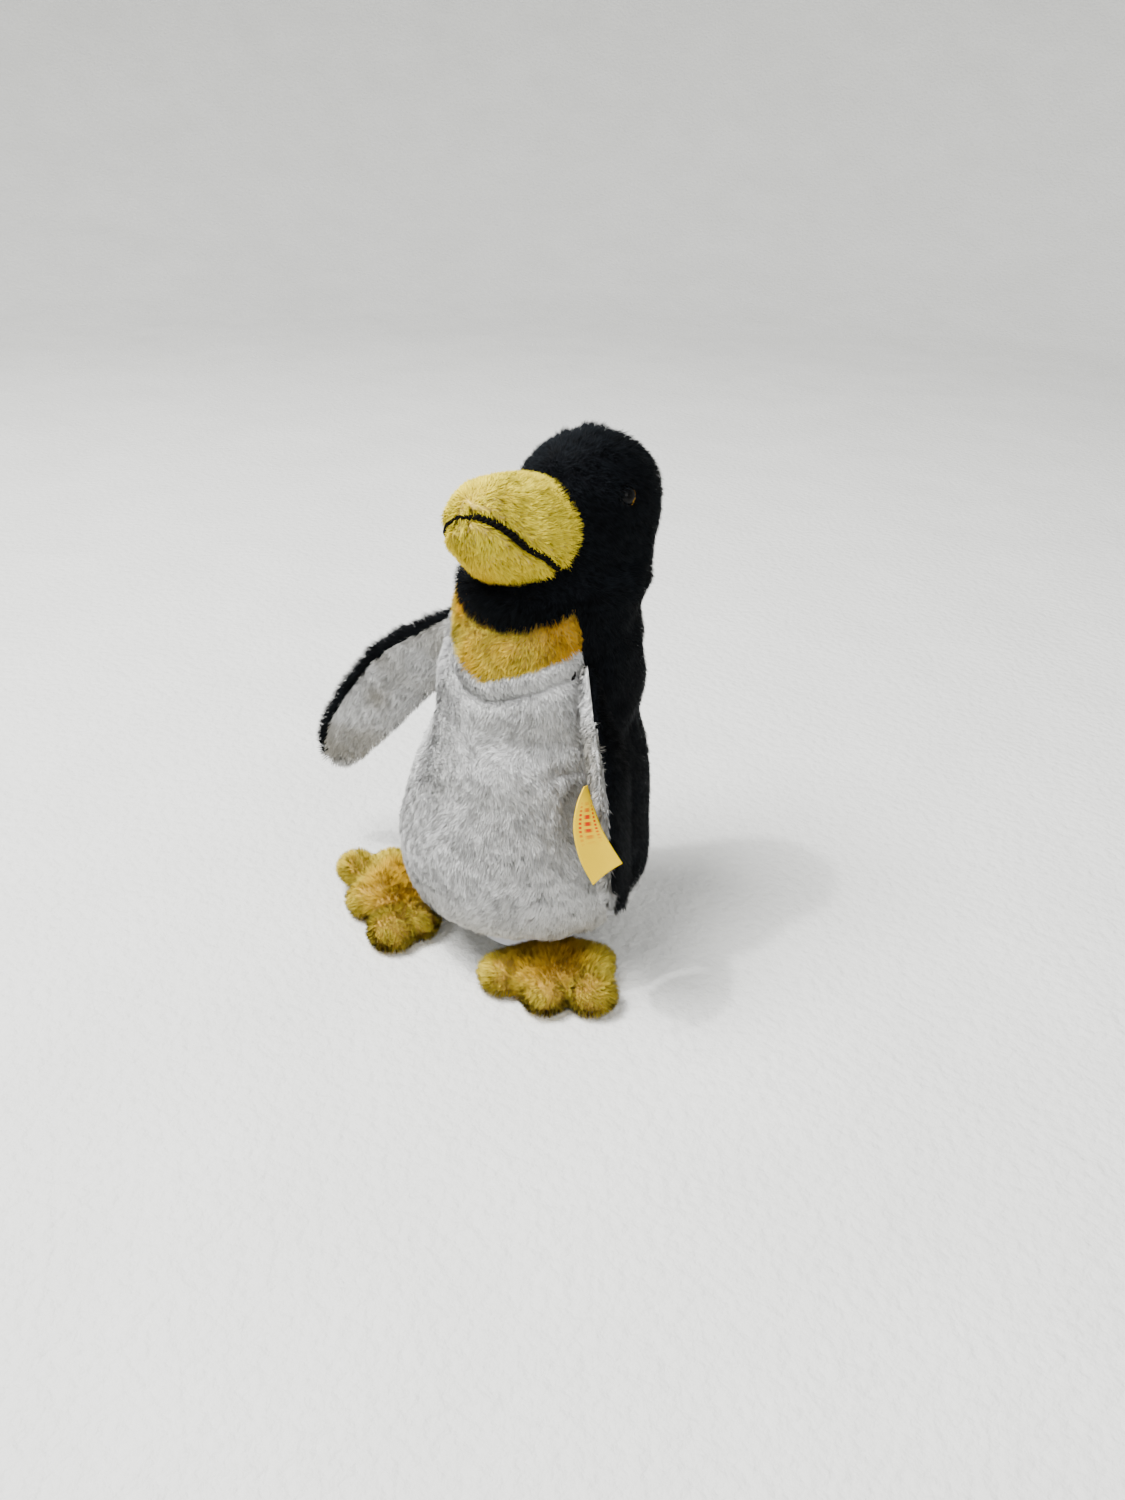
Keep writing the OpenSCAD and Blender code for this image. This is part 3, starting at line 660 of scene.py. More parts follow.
def eye_spot(side):
    """Where an eye sits, on the tips of the pile, and its outward direction."""
    near = np.argmin(
        np.abs(hull.values["a"] - side * EYE_A) / 2 + np.abs(hull.values["z"] - EYE_Z)
    )
    return hull.points[near] + hull.normals[near] * 0.1, hull.normals[near]


EYES = [eye_spot(1), eye_spot(-1)]


def crown(points, values):
    """Longer tufts on top of the head."""
    top = bell(points[:, 2], 173, 5) * (noise(points, 5.0, 0.9)[:, 0] > 0.1)
    return 1 + 0.75 * top


def near_eye(points, values):
    """Where an eye leaves no room for pile."""
    away = [np.linalg.norm(points - spot, axis=1) for spot, _ in EYES]
    return np.any(np.array(away) < EYE_CLEAR, axis=0)


def blotches(points, normals, values):
    """Wide soft patches of the second colour."""
    return 0.35 + 0.9 * noise(points, 9.0, 0.15)[:, 0]


def belly_swirl(points, normals, values):
    """Pile brushed down, and sideways in wide soft areas."""
    z = values["z"]
    sideways = noise(points, 16.0, 0.4)
    return np.stack([0.9 * sideways[:, 1], 0 * z, -0.7 + 0.5 * sideways[:, 2]], 1)


def belly_tint_and_painted_shade(points, normals, values):
    """Greyer in soft random patches, and greyer low down as painted shade where the belly turns under.
    """
    # low: painted shade, greyer towards the seat
    low = 1 - ease(values["z"], 14, 44)
    return 0.02 + 0.12 * noise(points, 9.0, 0.15)[:, 0] + 0.8 * low


DENSE = 7.0  # strands on a square millimetre
skin("belly_skin", hull.part(belly), white_cloth, "neck", ["belly_panel"])
skin("throat_skin", hull.part(throat), gold_cloth, "neck", ["throat_patch"])
skin("base_skin", hull.part(base), white_cloth, "torso", ["base_panel"])
skin("chin_skin", hull.part(chin_band), black_cloth, "neck", ["chin_band"])
for side, word in ((1, "left"), (-1, "right")):
    mine = hull_a * side > 0
    skin(f"back_skin_{word}", hull.part(back & mine), black_cloth, "neck", [f"back_panel_{word}"])
    skin(f"head_skin_{word}", hull.part(head & mine), black_cloth, "neck", [f"head_panel_{word}"])
    grow(
        f"back_pile_{word}", hull.part(back & mine), DENSE * 0.7, 2.8, 0.85, down_comb, black, "neck",
        seed=20 + side, swirl=0.4, clump=0.5, patch=blotches,
    )
    grow(
        f"head_pile_{word}", hull.part(head & mine), DENSE * 0.75, 2.9, 0.75, head_comb, black, "neck",
        seed=24 + side, swirl=0.5, clump=0.8, skip=near_eye, patch=blotches, length_of=crown,
    )
for side, word in ((1, "left"), (-1, "right")):
    grow(
        f"belly_pile_{word}", hull.part(belly & (hull_a * side > 0)), DENSE * 1.15, 2.5, 0.8,
        belly_swirl, white, "neck", seed=30 + side, swirl=0.5, clump=0.25, patch=belly_tint_and_painted_shade,
        thick=0.17,
    )
grow(
    "throat_pile", hull.part(throat), DENSE * 1.1, 2.6, 0.6, down_comb, gold, "neck",
    seed=31, swirl=0.8, clump=0.7, patch=blotches,
)
grow(
    "base_pile", hull.part(base & (hull_z > 1)), DENSE, 2.6, 0.75, base_comb, white, "torso",
    seed=32, swirl=0.5,
)
grow(
    "chin_pile", hull.part(chin_band), DENSE, 3.9, 0.5, down_comb, black, "neck",
    seed=33, swirl=0.6, clump=0.9, patch=blotches,
)

# ---------------------------------------------------------------- beak
BEAK_LEN, BEAK_Y, BEAK_Z, BEAK_PITCH = 36.0, 1.5, 144.0, math.radians(21)
BEAK = [  # distance along, half width, lowest, highest
    [-10, 19.5, -18, 18.3],
    [0, 19.5, -19.5, 19.5],
    [10, 18.7, -18.3, 18.3],
    [18.7, 16.8, -16.4, 16.4],
    [26.6, 13.3, -13.3, 14],
    [32.4, 8.6, -8.6, 10.1],
    [34.9, 4.7, -3.9, 6.2],
    [36, 0.8, 0.4, 2],
]
MOUTH = [  # distance along, angle from the top of the beak on the left side and on the right side
    [-6, 118, -124], [5, 112.5, -116], [14, 104, -111], [21, 99, -115], [27.4, 88.5, -121],
    [30.8, 82.5, -126], [33.4, 79, -128], [36, 77, -129],
]


def mouth_angle(t, side):
    """Angle from the top of the beak at which the mouth seam lies on a side."""
    return smooth(MOUTH, t, 1 if side > 0 else 2)


def beak_point(a, t):
    """The beak's surface at an angle from its top and a distance along it."""
    half = np.maximum(smooth(BEAK, t, 1), 0.3)
    low, high = smooth(BEAK, t, 2), smooth(BEAK, t, 3)
    rise = (high + low) / 2 + np.maximum((high - low) / 2, 0.3) * np.cos(np.radians(a))
    return np.stack(
        [
            half * np.sin(np.radians(a)),
            BEAK_Y - t * math.cos(BEAK_PITCH) + rise * math.sin(BEAK_PITCH),
            BEAK_Z + t * math.sin(BEAK_PITCH) + rise * math.cos(BEAK_PITCH),
        ],
        -1,
    )


def make_beak():
    """The stuffed beak, with the mouth seam drawn in. gap is the distance from that seam."""
    columns, rows = 120, 70
    a = np.arange(columns) / columns * 360 - 180
    t = mix(-6, BEAK_LEN, 1 - (1 - np.arange(rows) / (rows - 1)) ** 1.7)
    a, t = np.meshgrid(a, t)
    points = beak_point(a, t).reshape(-1, 3)
    faces = grid_faces(rows, columns, closed=True)[:, ::-1]
    shape = Surface(points, faces)
    a, t = a.ravel(), t.ravel()
    gap = np.minimum(
        *[np.abs((a - mouth_angle(t, side) + 180) % 360 - 180) for side in (1, -1)]
    ) * np.radians(1) * np.maximum(smooth(BEAK, t, 1), 1)
    lumps = noise(points, 9.0, 0.3)[:, 0] * 0.5
    out = lumps - 1.9 * bell(gap, 0, 1.5) + 0.7 * bell(gap, 3.4, 2.2) - 2.0
    out = np.where(t > BEAK_LEN - 1.2, -2.0, out)
    return Surface(points + shape.normals * out[:, None], faces, a=a, t=t, gap=gap)


beak = make_beak()


def hull_depth(points):
    """How far out in the head a point is: 1 on its surface, less inside."""
    z = points[:, 2]
    half, front, back = (smooth(HULL, z, k) for k in (1, 2, 3))
    return np.hypot(points[:, 0] / half, (points[:, 1] - (front + back) / 2) / ((back - front) / 2))


beak_centres = beak.points[beak.faces].mean(axis=1)
beak_a, beak_t = beak.face_value("a"), beak.face_value("t")
wraps = np.ptp(beak.values["a"][beak.faces], axis=1) > 180
beak_a = np.where(wraps, 180, beak_a)
outside = hull_depth(beak_centres) > 0.93
upper = (beak_a < mouth_angle(beak_t, 1)) & (beak_a > mouth_angle(beak_t, -1))


def beak_comb(points, normals, values):
    """From the tip towards the cheeks."""
    back = np.array([0, math.cos(BEAK_PITCH), -math.sin(BEAK_PITCH)])
    return np.tile(back, (len(points), 1)) + np.array([0, 0, -0.35])


def beak_tint_and_painted_shade(points, normals, values):
    """Browner towards the underside of the lower half, as painted shade, and in random patches."""
    # rise below the beak's middle: browner underneath as painted shade
    rise = points[:, 2] - BEAK_Z - (BEAK_Y - points[:, 1]) * math.tan(BEAK_PITCH)
    return 0.02 + 0.75 * np.clip(-(rise + 2) / 14, 0, 1) + 0.3 * noise(points, 7.0, 0.8)[:, 2]


def in_mouth(points, values):
    """Where the yarn lies, and no pile grows."""
    return values["gap"] < 0.55


for name, keep, node in (("upper", upper, "beak_upper"), ("lower", ~upper, "beak_lower")):
    skin(f"beak_skin_{name}", beak.part(keep & outside), yellow_cloth, "head", [node])
    grow(
        f"beak_pile_{name}", beak.part(keep & outside), DENSE * 1.25, 2.5, 0.85, beak_comb, yellow,
        "head", seed=40 + len(name) + ord(name[0]), swirl=0.7, clump=0.45, skip=in_mouth,
        patch=beak_tint_and_painted_shade,
    )

thread = Shader("thread", Roughness=0.9, Specular_IOR_Level=0.05)
twist_marks = thread.noise(thread.place(), 1400.0)
thread.set("Base Color", thread.colour(twist_marks, (0.001, 0.001, 0.0008), (0.006, 0.005, 0.004)))


def yarn(name, path, radius, strands, twist, sides=6):
    """Twisted yarn along a path: some strands wound round each other, once every twist."""
    path = np.asarray(path, float)
    along = unit(np.gradient(path, axis=0))
    across = unit(np.cross(along, [0.02, 0.03, 1]))
    up = np.cross(across, along)
    walked = np.r_[0, np.cumsum(np.linalg.norm(np.diff(path, axis=0), axis=1))]
    points, faces = [], []
    for strand in range(strands):
        turn = 2 * math.pi * (strand / strands + walked / twist)
        middle = path + radius * 0.5 * (
            across * np.cos(turn)[:, None] + up * np.sin(turn)[:, None]
        )
        ring = 2 * math.pi * np.arange(sides) / sides
        thick = radius * 0.62 * np.sqrt(np.clip(np.minimum(walked, walked[-1] - walked), 0.02, 1))
        circle = (
            across[:, None] * np.cos(ring)[None, :, None] + up[:, None] * np.sin(ring)[None, :, None]
        )
        points.append((middle[:, None] + circle * thick[:, None, None]).reshape(-1, 3))
        faces.append(grid_faces(len(path), sides, closed=True) + strand * len(path) * sides)
    obj = new_object(name, np.concatenate(points), np.concatenate(faces))
    obj.data.materials.append(thread.material)
    return obj


def mouth_path():
    """From one cheek round the tip to the other, lying in the seam."""
    q = np.linspace(-1, 1, 160)
    t = mix(BEAK_LEN - 0.7, 5.5, np.abs(q) ** 1.8)
    a = np.where(q < 0, mouth_angle(t, -1), mouth_angle(t, 1))
    path = beak_point(a, t)
    middle = np.abs(q) < 0.3
    for _ in range(30):
        path[1:-1] = np.where(middle[1:-1, None], (path[:-2] + path[2:]) / 2, path[1:-1])
    inward = unit(np.array([0, 1.5, 150]) - path)
    return path + inward * 1.5


mouth = yarn("mouth_yarn", mouth_path(), radius=1.1, strands=3, twist=4.5)
attach(mouth, "head")
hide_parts("mouth_thread")

# A loose end of the thread where the throat patch meets the side seam
knot = np.array([28.4, -9.9, 110.7]) + np.array(
    [[0, 0, 1.6], [0.5, -0.6, 0.6], [0.2, -0.9, -0.4], [-0.5, -0.5, -1.2], [-0.9, 0.1, -0.5]]
)
attach(yarn("seam_knot", knot, radius=0.5, strands=2, twist=3.0), "neck")

# ---------------------------------------------------------------- eyes
glass = Shader("eye_glass", Roughness=0.05, Specular_IOR_Level=0.1)
iris = glass.noise(glass.place(), 700.0)
amber = glass.colour(iris, (0.30, 0.13, 0.01), (0.60, 0.34, 0.04))
glass.set("Base Color", glass.colour(glass.attribute("amber"), (0.001, 0.001, 0.001), amber))


BEAD = [  # distance from the middle, height: dome, collar and shank
    [0.0, 1.9], [0.8, 1.86], [1.6, 1.7], [2.4, 1.38], [3.0, 0.95], [3.4, 0.45], [3.55, 0.1],
    [3.75, 0.0], [4.05, -0.1], [4.1, -0.45], [3.8, -0.7], [1.5, -0.75], [1.5, -4.0], [0.0, -4.0],
]


def bead(name, spot, outward, node):
    """A domed bead on a flat collar, turned as one piece, amber at the rear of its rim."""
    profile = np.array(BEAD) * [0.8, 0.9]
    steps = np.linspace(0, len(profile) - 1, 4 * len(profile) - 3)
    profile = np.stack([np.interp(steps, range(len(profile)), profile[:, k]) for k in (0, 1)], 1)
    sides = 48
    ring = 2 * math.pi * np.arange(sides) / sides
    first = unit(np.cross(outward, [0, 0, 1]))
    second = np.cross(outward, first)
    around = first * np.cos(ring)[:, None] + second * np.sin(ring)[:, None]
    points = spot + profile[:, None, :1] * around[None] + profile[:, None, 1:] * outward
    obj = new_object(name, points.reshape(-1, 3), grid_faces(len(profile), sides, closed=True))
    rear = unit(np.array([0.0, 1.0, -0.5]))
    ring_amber = ease((around @ rear)[None, :] + 0 * profile[:, :1], 0.55, 0.8)
    ring_amber = ring_amber * ease(profile[:, :1], 1.7, 2.2)
    obj.data.attributes.new("amber", "FLOAT", "POINT").data.foreach_set(
        "value", ring_amber.ravel().astype(np.float32)
    )
    obj.data.materials.append(glass.material)
    attach(obj, "head")
    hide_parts(node)


bead("eye_bead_left", *EYES[0], "eye_left")
bead("eye_bead_right", *EYES[1], "eye_right")


# ---------------------------------------------------------------- flippers
def turn_about(axis, angle):
    """A turn by degrees about an axis."""
    return np.array(Matrix.Rotation(math.radians(angle), 3, axis))


class Shoulder:
    """Turns a flipper's own frame into the penguin's: it hangs along -Z, leading edge at -Y."""

    def __init__(self, side, pivot, lift, swing, twist):
        self.side, self.pivot = side, np.array(pivot)
        self.turn = turn_about("Y", -lift) @ turn_about("X", -swing) @ turn_about("Z", twist)

    def __call__(self, points):
        """Points of the flipper's frame, in the penguin's."""
        return (points @ self.turn.T + self.pivot) * [self.side, 1, 1]

    def way(self, vector):
        """A direction of the flipper's frame, in the penguin's."""
        return (np.asarray(vector) @ self.turn.T) * [self.side, 1, 1]


SHOULDERS = {
    "left": Shoulder(1, (44, -8, 105), 7, 0, 27),
    "right": Shoulder(-1, (46.1, -3, 98), 39, 17, 68),
}
FLESH = {"left": (2.8, 3.6), "right": (2.2, 3.2)}  # half thickness outward and inward
SHIFT = {"left": -2.5, "right": 0.0}  # of the whole flipper, away from the body
ROOT = {"left": (112, 86), "right": (113, 77)}  # heights between which a flipper is sewn in
WING = {  # distance from the shoulder, leading edge, trailing edge
    "left": [
        [-9, -10.5, 2], [0, -12.2, 4], [15, -13.2, 6], [30, -12.8, 6.6], [44, -11.4, 6.3],
        [55, -9.4, 5.6], [62, -7.0, 4.4], [66.5, -4, 2.6], [68, -1.4, 0.4],
    ],
    "right": [
        [-9, -4, 4], [0, -6.8, 8], [12, -9.2, 11.5], [24, -9.6, 13.5], [36, -8.8, 14],
        [46, -7.6, 14.2], [57, -5, 14], [66, -1.2, 13.6], [72, 3.5, 12.4], [74, 7, 10],
    ],
}
# The seam between black and white lies off the leading edge: which face it is on, and how far in
SEAM_ON = {"left": (1, -0.9), "right": (-1, -0.62)}


def wing_face(word, out):
    """One face of a flipper: out is 1 for the outer face and -1 for the inner one. Its root is
    sewn into the side seam of the body."""
    where = SHOULDERS[word]
    columns, rows = 40, 90
    c, s = np.meshgrid(np.linspace(-1, 1, columns), np.linspace(0, 1, rows))
    table = WING[word]
    along = mix(-9, table[-1][0], 1 - (1 - s) ** 1.25)
    lead, trail = smooth(table, along, 1), smooth(table, along, 2)
    y = (lead + trail) / 2 + (trail - lead) / 2 * np.sin(c * math.pi / 2)
    plump = np.sqrt(np.clip(1 - c**2, 0, 1)) * (1 - 0.3 * c) * (1 - 0.55 * s**3)
    thick = FLESH[word][0 if out > 0 else 1] * plump + 0.02
    bend = 1.2 * np.sin(along / 74 * math.pi) * (c * 0.5 + 0.5) + 0.4 * np.sin(along / 11 + c)
    free = where(np.stack([out * thick + bend + SHIFT[word], y, -along], -1))
    high, low = ROOT[word]
    z = mix(high, low, (c + 1) / 2)
    a = np.radians(side_seam(z) + 3)
    half, front, back = (smooth(HULL, z, k) for k in (1, 2, 3))
    sewn = np.stack(
        [where.side * (half - 3.2) * np.sin(a),
         (front + back) / 2 - ((back - front) / 2 - 3.2) * np.cos(a) + out * thick * 0.8, z], -1
    )
    points = mix(sewn, free, ease(along, -9, 26)[..., None])
    faces = grid_faces(rows, columns)
    if out * where.side > 0:
        faces = faces[:, ::-1]
    return Surface(points.reshape(-1, 3), faces, c=c.ravel(), along=along.ravel())


BLACK_SIDE = {"cloth": black_cloth, "pile": black, "length": 3.0, "lean": 0.75}
WHITE_SIDE = {"cloth": white_cloth, "pile": white, "length": 2.8, "lean": 0.75}


def sew_flipper(word):
    """Both faces of a flipper, and the strip beside its leading edge where the other face's
    cloth is turned over."""
    where, body = SHOULDERS[word], f"flipper_{word}"
    strip_on, strip_edge = SEAM_ON[word]
    for out, part in ((1, "outer"), (-1, "inner")):
        face = wing_face(word, out)
        narrow = 0.3 * (1 - ease(face.face_value("along"), -9, 22))
        strip = (face.face_value("c") < strip_edge - narrow) & (out == strip_on)
        look, other = (BLACK_SIDE, WHITE_SIDE) if out > 0 else (WHITE_SIDE, BLACK_SIDE)
        ahead = where.way([0.5 * out, -1.0, -0.45])
        outward = where.way([0, -0.35 * out, -1])

        def comb(points, normals, values):
            """Down the flipper, and forward near the leading edge."""
            edge = ease(-values["c"], 0.4, 1)[:, None]
            return outward * (1 - edge) + ahead * edge

        skin(f"{body}_{part}_skin", face.part(~strip), look["cloth"], body, [f"{body}_{part}"], 0.0)
        grow(
            f"{body}_{part}_pile", face.part(~strip), DENSE * 1.1, look["length"], look["lean"],
            comb, look["pile"], body, seed=50 + out + 5 * where.side, swirl=0.5, clump=0.5,
            patch=blotches,
        )
        if strip.any():
            skin(f"{body}_strip_skin", face.part(strip), other["cloth"], body, [], 0.0)
            grow(
                f"{body}_strip_pile", face.part(strip), DENSE * 1.8, other["length"] + 1.0, 0.3,
                comb, other["pile"], body, seed=70 + where.side, swirl=0.9, clump=1.4, droop=0.15,
                patch=blotches,
            )


for word in SHOULDERS:
    sew_flipper(word)

# ---------------------------------------------------------------- feet
HEEL_RADIUS, HEEL_HEIGHT = 5.6, 5.4
SOLE_SEAM = 4.7  # height of the seam between the top and the sole


def round_ball():
    """Points and faces of a ball with radius 1."""
    form = bmesh.new()
    bmesh.ops.create_icosphere(form, subdivisions=3, radius=1)
    ball = np.array([v.co for v in form.verts])
    faces = np.array([[v.index for v in f.verts] for f in form.faces])
    form.free()
    return ball, faces


def ball_foot(word, side, pivot, splay, toes):
    """A stuffed foot: toes and the webs between them, as rows of balls from the heel outward that
    are merged and smoothed."""
    collected, faces, offset = [], [], 0
    ball, ball_faces = round_ball()
    webs = [
        ((a[0] + b[0]) / 2, 22.0, 7.4, 5.4, (a[4] + b[4]) / 2 * 0.6) for a, b in zip(toes, toes[1:])
    ]
    for angle, reach, radius, height, lift in toes + webs:
        direction = np.array([-math.sin(math.radians(angle)), -math.cos(math.radians(angle))])
        for step in np.linspace(0, 1, 9):
            r = mix(HEEL_RADIUS, radius, step**1.5)
            centre = np.array([*(direction * mix(1.5, reach - radius, step)), 0])
            centre[2] = mix(HEEL_HEIGHT, height, step) + lift * step**2
            collected.append(ball * [r, r, r * 0.86] + centre)
            faces.append(ball_faces + offset)
            offset += len(ball)
    obj = new_object(f"foot_{word}_form", np.concatenate(collected), np.concatenate(faces))
    remesh = obj.modifiers.new("merge", "REMESH")
    remesh.mode, remesh.voxel_size = "VOXEL", 0.9 * MM
    relax = obj.modifiers.new("relax", "SMOOTH")
    relax.factor, relax.iterations = 0.5, 26
    merged = bpy.data.meshes.new_from_object(
        obj.evaluated_get(bpy.context.evaluated_depsgraph_get())
    )
    points = np.array([v.co for v in merged.vertices]) / MM
    quads = np.array([list(p.vertices) for p in merged.polygons if len(p.vertices) == 4])
    bpy.data.objects.remove(obj)
    bpy.data.meshes.remove(merged)
    across, ahead = math.sin(math.radians(splay)), math.cos(math.radians(splay))
    spin = np.array([[ahead, -across, 0], [across, ahead, 0], [0, 0, 1]])
    world = (points @ spin.T) + [pivot[0], pivot[1], 0]
    world[:, 0] *= side
    world[:, 2] = np.maximum(world[:, 2], 0.9)
    if side < 0:
        quads = quads[:, ::-1]
    return Surface(world, quads, x=points[:, 0], y=points[:, 1])


FEET = {  # toes: angle, reach, radius, height, lift
    "left": ball_foot(
        "left", 1, (27, -13.5), 23,
        [(36, 28, 7.0, 5.6, 0), (-12.6, 27.4, 7.0, 5.6, 0), (-53, 30.6, 7.3, 5.8, 0),
         (-88, 20.5, 6.5, 5.8, 0)],
    ),
    "right": ball_foot(
        "right", -1, (30.5, -25), 14,
        [(60, 23, 6.6, 5.8, 0), (37.5, 30.8, 7.6, 5.6, 0), (-17, 26.6, 6.8, 5.6, 0),
         (-51, 33, 6.2, 6, 3.5), (-76, 23.5, 5.8, 6, 2.5)],
    ),
}


def foot_tint_and_painted_light(points, normals, values):
    """Browner on top of the instep, and lighter at the toes' rims as painted light against their
    shade, with random patches.
    """
    middle = np.hypot(values["x"], values["y"] + 8)
    # falling off towards the rims: the lighter rims are painted light
    return 0.75 - 0.9 * ease(middle, 8, 20) + 0.2 * noise(points, 6.0, 0.5)[:, 1]


for word, form in FEET.items():
    body = f"foot_{word}"
    heights = form.points[form.faces].mean(axis=1)[:, 2]
    for part, keep in (("top", heights >= SOLE_SEAM), ("sole", heights < SOLE_SEAM)):
        skin(f"{body}_{part}_skin", form.part(keep), gold_cloth, body, [f"{body}_{part}"])
        centre = form.points.mean(axis=0)

        def comb(points, normals, values, centre=centre):
            """Outward on every side, and a little up."""
            away = (points - centre) * [1, 1, 0]
            return unit(away) + np.array([0, 0, 0.1])

        room = form.part(keep & (heights > 1.6))
        grow(
            f"{body}_{part}_pile", room, DENSE * 1.7, 2.7, 0.42, comb, gold, body,
            seed=80 + len(word) + len(part), swirl=0.6, clump=0.75, patch=foot_tint_and_painted_light,
            thick=0.17, droop=0.25,
        )

# ---------------------------------------------------------------- filling
fibre = Shader("fibre_filling", Roughness=1.0, Specular_IOR_Level=0.0)
wisps = fibre.noise(fibre.place(), 260.0, 6.0)
fibre.set("Base Color", fibre.colour(wisps, (0.6, 0.6, 0.58), (0.9, 0.9, 0.88)))
fibre.set("Normal", fibre.bump(wisps, 0.8, 0.001))
skin("body_filling", hull.part(hull_z < NECK_Z - 1), fibre.material, "torso", ["body_stuffing"], 2.2)
skin("head_filling", hull.part(hull_z > NECK_Z + 1), fibre.material, "head", ["head_stuffing"], 2.2)
skin("beak_filling", beak.part(outside), fibre.material, "head", ["beak_stuffing"], 1.6)
for word in SHOULDERS:
    lumps = wing_face(word, 1)
    lumps.points = lumps.points - lumps.normals * 1.2
    skin(f"flipper_{word}_filling", lumps, fibre.material, f"flipper_{word}",
         [f"flipper_{word}_stuffing"], 0.0)
for word, form in FEET.items():
    skin(f"foot_{word}_filling", form, fibre.material, f"foot_{word}", [f"foot_{word}_stuffing"], 1.5)

moulded = Shader("moulded_plastic", Roughness=0.45)
mottle = moulded.noise(moulded.place(), 300.0)
moulded.set("Base Color", moulded.colour(mottle, (0.72, 0.72, 0.7), (0.85, 0.85, 0.83)))
sacking = cloth_material("bag_cloth", (0.74, 0.74, 0.72), (0.55, 0.55, 0.53))
for name, material in (
    ("eye_washer_left", moulded.material), ("eye_washer_right", moulded.material),
    ("pellets", moulded.material), ("pellet_bag", sacking),
):
    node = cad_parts[name]
    node.data.materials.clear()
    node.data.materials.append(material)

# ---------------------------------------------------------------- ribbon tag
TAG_WIDTH = 11.0
TAG = [  # share of the length, then the front edge and the rear edge as x, y, z
    [0, 48.5, -25.7, 87.5, 45.6, -21.1, 84.8],
    [0.25, 49.9, -30.1, 83.5, 49.2, -22.5, 80.8],
    [0.5, 50.8, -31.9, 76.1, 53.5, -22.8, 74.2],
    [0.75, 53.3, -31.3, 66.8, 56.7, -21.2, 68.3],
    [1, 56.5, -28.7, 58.1, 59.3, -19.1, 62.8],
]


def make_tag():
    """A satin ribbon, sewn edge-on at the top and turned to the front at its free end."""
    rows, columns = 60, 16
    s, c = np.meshgrid(np.linspace(0, 1, rows), np.linspace(0, 1, columns), indexing="ij")
    front, rear = (np.stack([smooth(TAG, s, k + i) for i in range(3)], -1) for k in (1, 4))
    points = mix(front, rear, c[..., None])
    outward = np.cross(rear - front, [0.0, 0, 1])
    points = points + unit(outward) * (0.8 * np.sin(c * math.pi) * np.sin(s * 5.5))[..., None]
    faces = grid_faces(rows, columns)
    flat = Surface(points.reshape(-1, 3), faces)
    obj = new_object("ribbon", flat.points, faces)
    layer = obj.data.uv_layers.new(name="UVMap")
    uv = np.stack([c.ravel(), s.ravel()], 1)
    corner = np.empty(len(obj.data.loops), np.int32)
    obj.data.loops.foreach_get("vertex_index", corner)
    layer.uv.foreach_set("vector", uv[corner].astype(np.float32).ravel())
    thick = obj.modifiers.new("thickness", "SOLIDIFY")
    thick.thickness, thick.offset = 0.35 * MM, 0
    satin = Shader("satin_ribbon", Roughness=0.6, Specular_IOR_Level=0.05)
    at = satin.node("ShaderNodeUVMap", {"uv_map": "UVMap"})
    across = satin.node("ShaderNodeSeparateXYZ", {}, at)
    length = satin.node("ShaderNodeSeparateXYZ", {}, at, out=1)
    weave = satin.node("ShaderNodeTexWave", {"bands_direction": "Y"}, at, 60.0, 0.4, out=1)
    cloth = satin.colour(weave, (0.80, 0.50, 0.0), (0.88, 0.60, 0.0))

    def near(value, middle, width):
        """1 within about half a width of the middle, 0 further off."""
        return (1.5 - satin.node("ShaderNodeMath", {"operation": "ABSOLUTE"}, value - middle)
                / width).clamp()

    def dashes(row, half, rate):
        """A row of woven dashes along the ribbon."""
        wave = satin.node("ShaderNodeMath", {"operation": "SINE"}, length * rate)
        return near(across, row, half) * (wave * 4 + 1.5).clamp() * near(length, 0.42, 0.16)

    marks = dashes(0.22, 0.05, 150.0) + dashes(0.5, 0.12, 90.0) + dashes(0.8, 0.05, 170.0)
    satin.set("Base Color", satin.colour(marks.clamp(), cloth, (0.62, 0.03, 0.0)))
    satin.set("Normal", satin.bump(weave, 0.15, 0.0003))
    obj.data.materials.append(satin.material)
    attach(obj, "tag")
    size = (TAG_WIDTH * MM, flat.areas.sum() / TAG_WIDTH * MM)
    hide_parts("ribbon_tag")


make_tag()

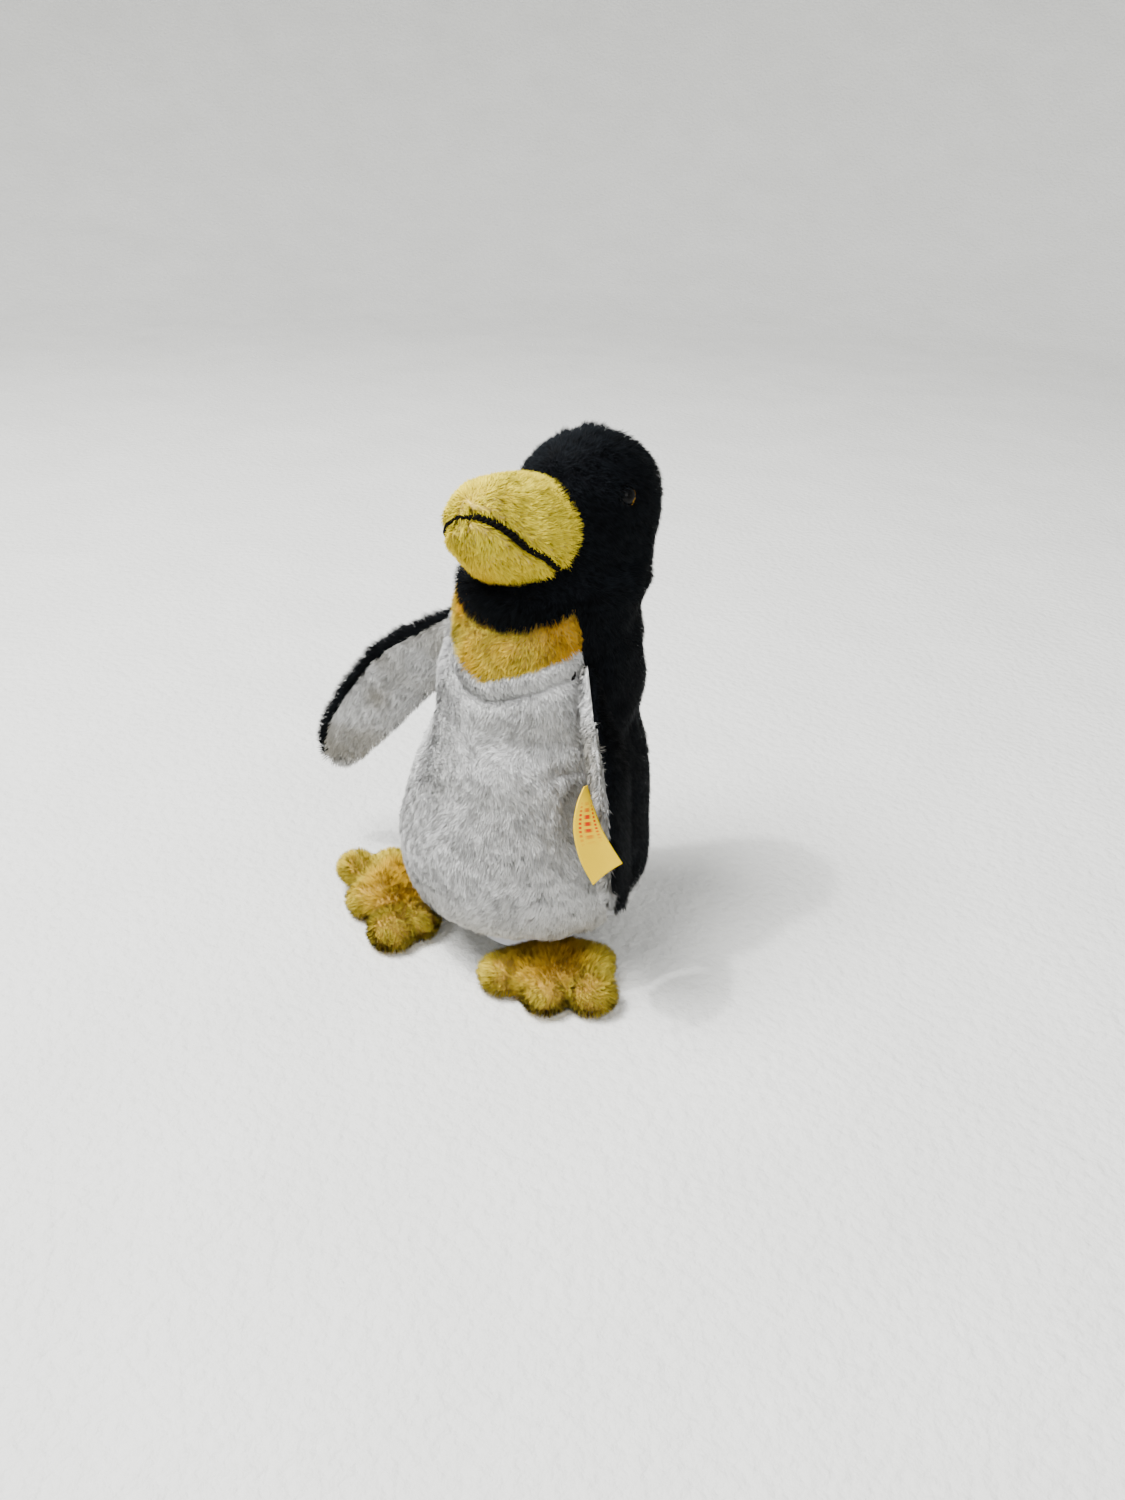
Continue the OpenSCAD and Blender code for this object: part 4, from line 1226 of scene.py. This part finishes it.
# ---------------------------------------------------------------- floor and light
floor_shader = Shader("pale_cloth", Roughness=0.9, Specular_IOR_Level=0.15)
spots = floor_shader.noise(floor_shader.place(), 14, 5.0)
fine = floor_shader.noise(floor_shader.place(), 260, 5.0)
soft = floor_shader.colour(spots, (0.72, 0.72, 0.69), (0.99, 0.99, 0.955))
floor_shader.set("Base Color", floor_shader.colour(fine, soft, (0.76, 0.76, 0.73)))
floor_shader.set("Normal", floor_shader.bump(fine * 0.5 + spots, 0.6, 0.006))


def make_floor():
    """A flat disc whose rim curves up far behind the object, on every side."""
    sides, rows = 96, 40
    walk = np.linspace(0, 1, rows)
    rise = 1.9 * np.clip(walk - 0.45, 0, None) ** 2 / 0.3
    ring = 2 * math.pi * np.arange(sides) / sides
    out = mix(0.02, 2.6, walk)
    points = np.stack(
        [out[:, None] * np.cos(ring), out[:, None] * np.sin(ring), rise[:, None] + 0 * ring], -1
    )
    return new_object("floor", points.reshape(-1, 3) / MM, grid_faces(rows, sides, closed=True))


floor = make_floor()
floor.data.materials.append(floor_shader.material)


def lamp(name, place, aim, size, power):
    """A round lamp at a place, turned to what it lights."""
    light = bpy.data.lights.new(name, "AREA")
    light.shape, light.size, light.energy = "DISK", size, power
    obj = bpy.data.objects.new(name, light)
    bpy.context.scene.collection.objects.link(obj)
    ahead = unit(np.array(aim, float) - np.array(place, float))
    right = unit(np.cross(ahead, [0, 0, 1]))
    up = np.cross(right, ahead)
    turned = Matrix([[right[i], up[i], -ahead[i]] for i in range(3)]).to_4x4()
    turned.translation = place
    obj.matrix_world = turned


lamp("key", (-0.26, -0.44, 1.18), (0, 0, 0.07), 0.7, 35)
lamp("spark", (-0.3, -0.35, 1.15), (0, 0, 0.15), 0.05, 9)
lamp("fill", (0.9, -0.3, 0.8), (0, 0, 0.08), 0.8, 5)
world = bpy.data.worlds.new("studio")
world.use_nodes = True
world.node_tree.nodes["Background"].inputs[0].default_value = (0.97, 0.98, 1.0, 1)
world.node_tree.nodes["Background"].inputs[1].default_value = 0.56
bpy.context.scene.world = world
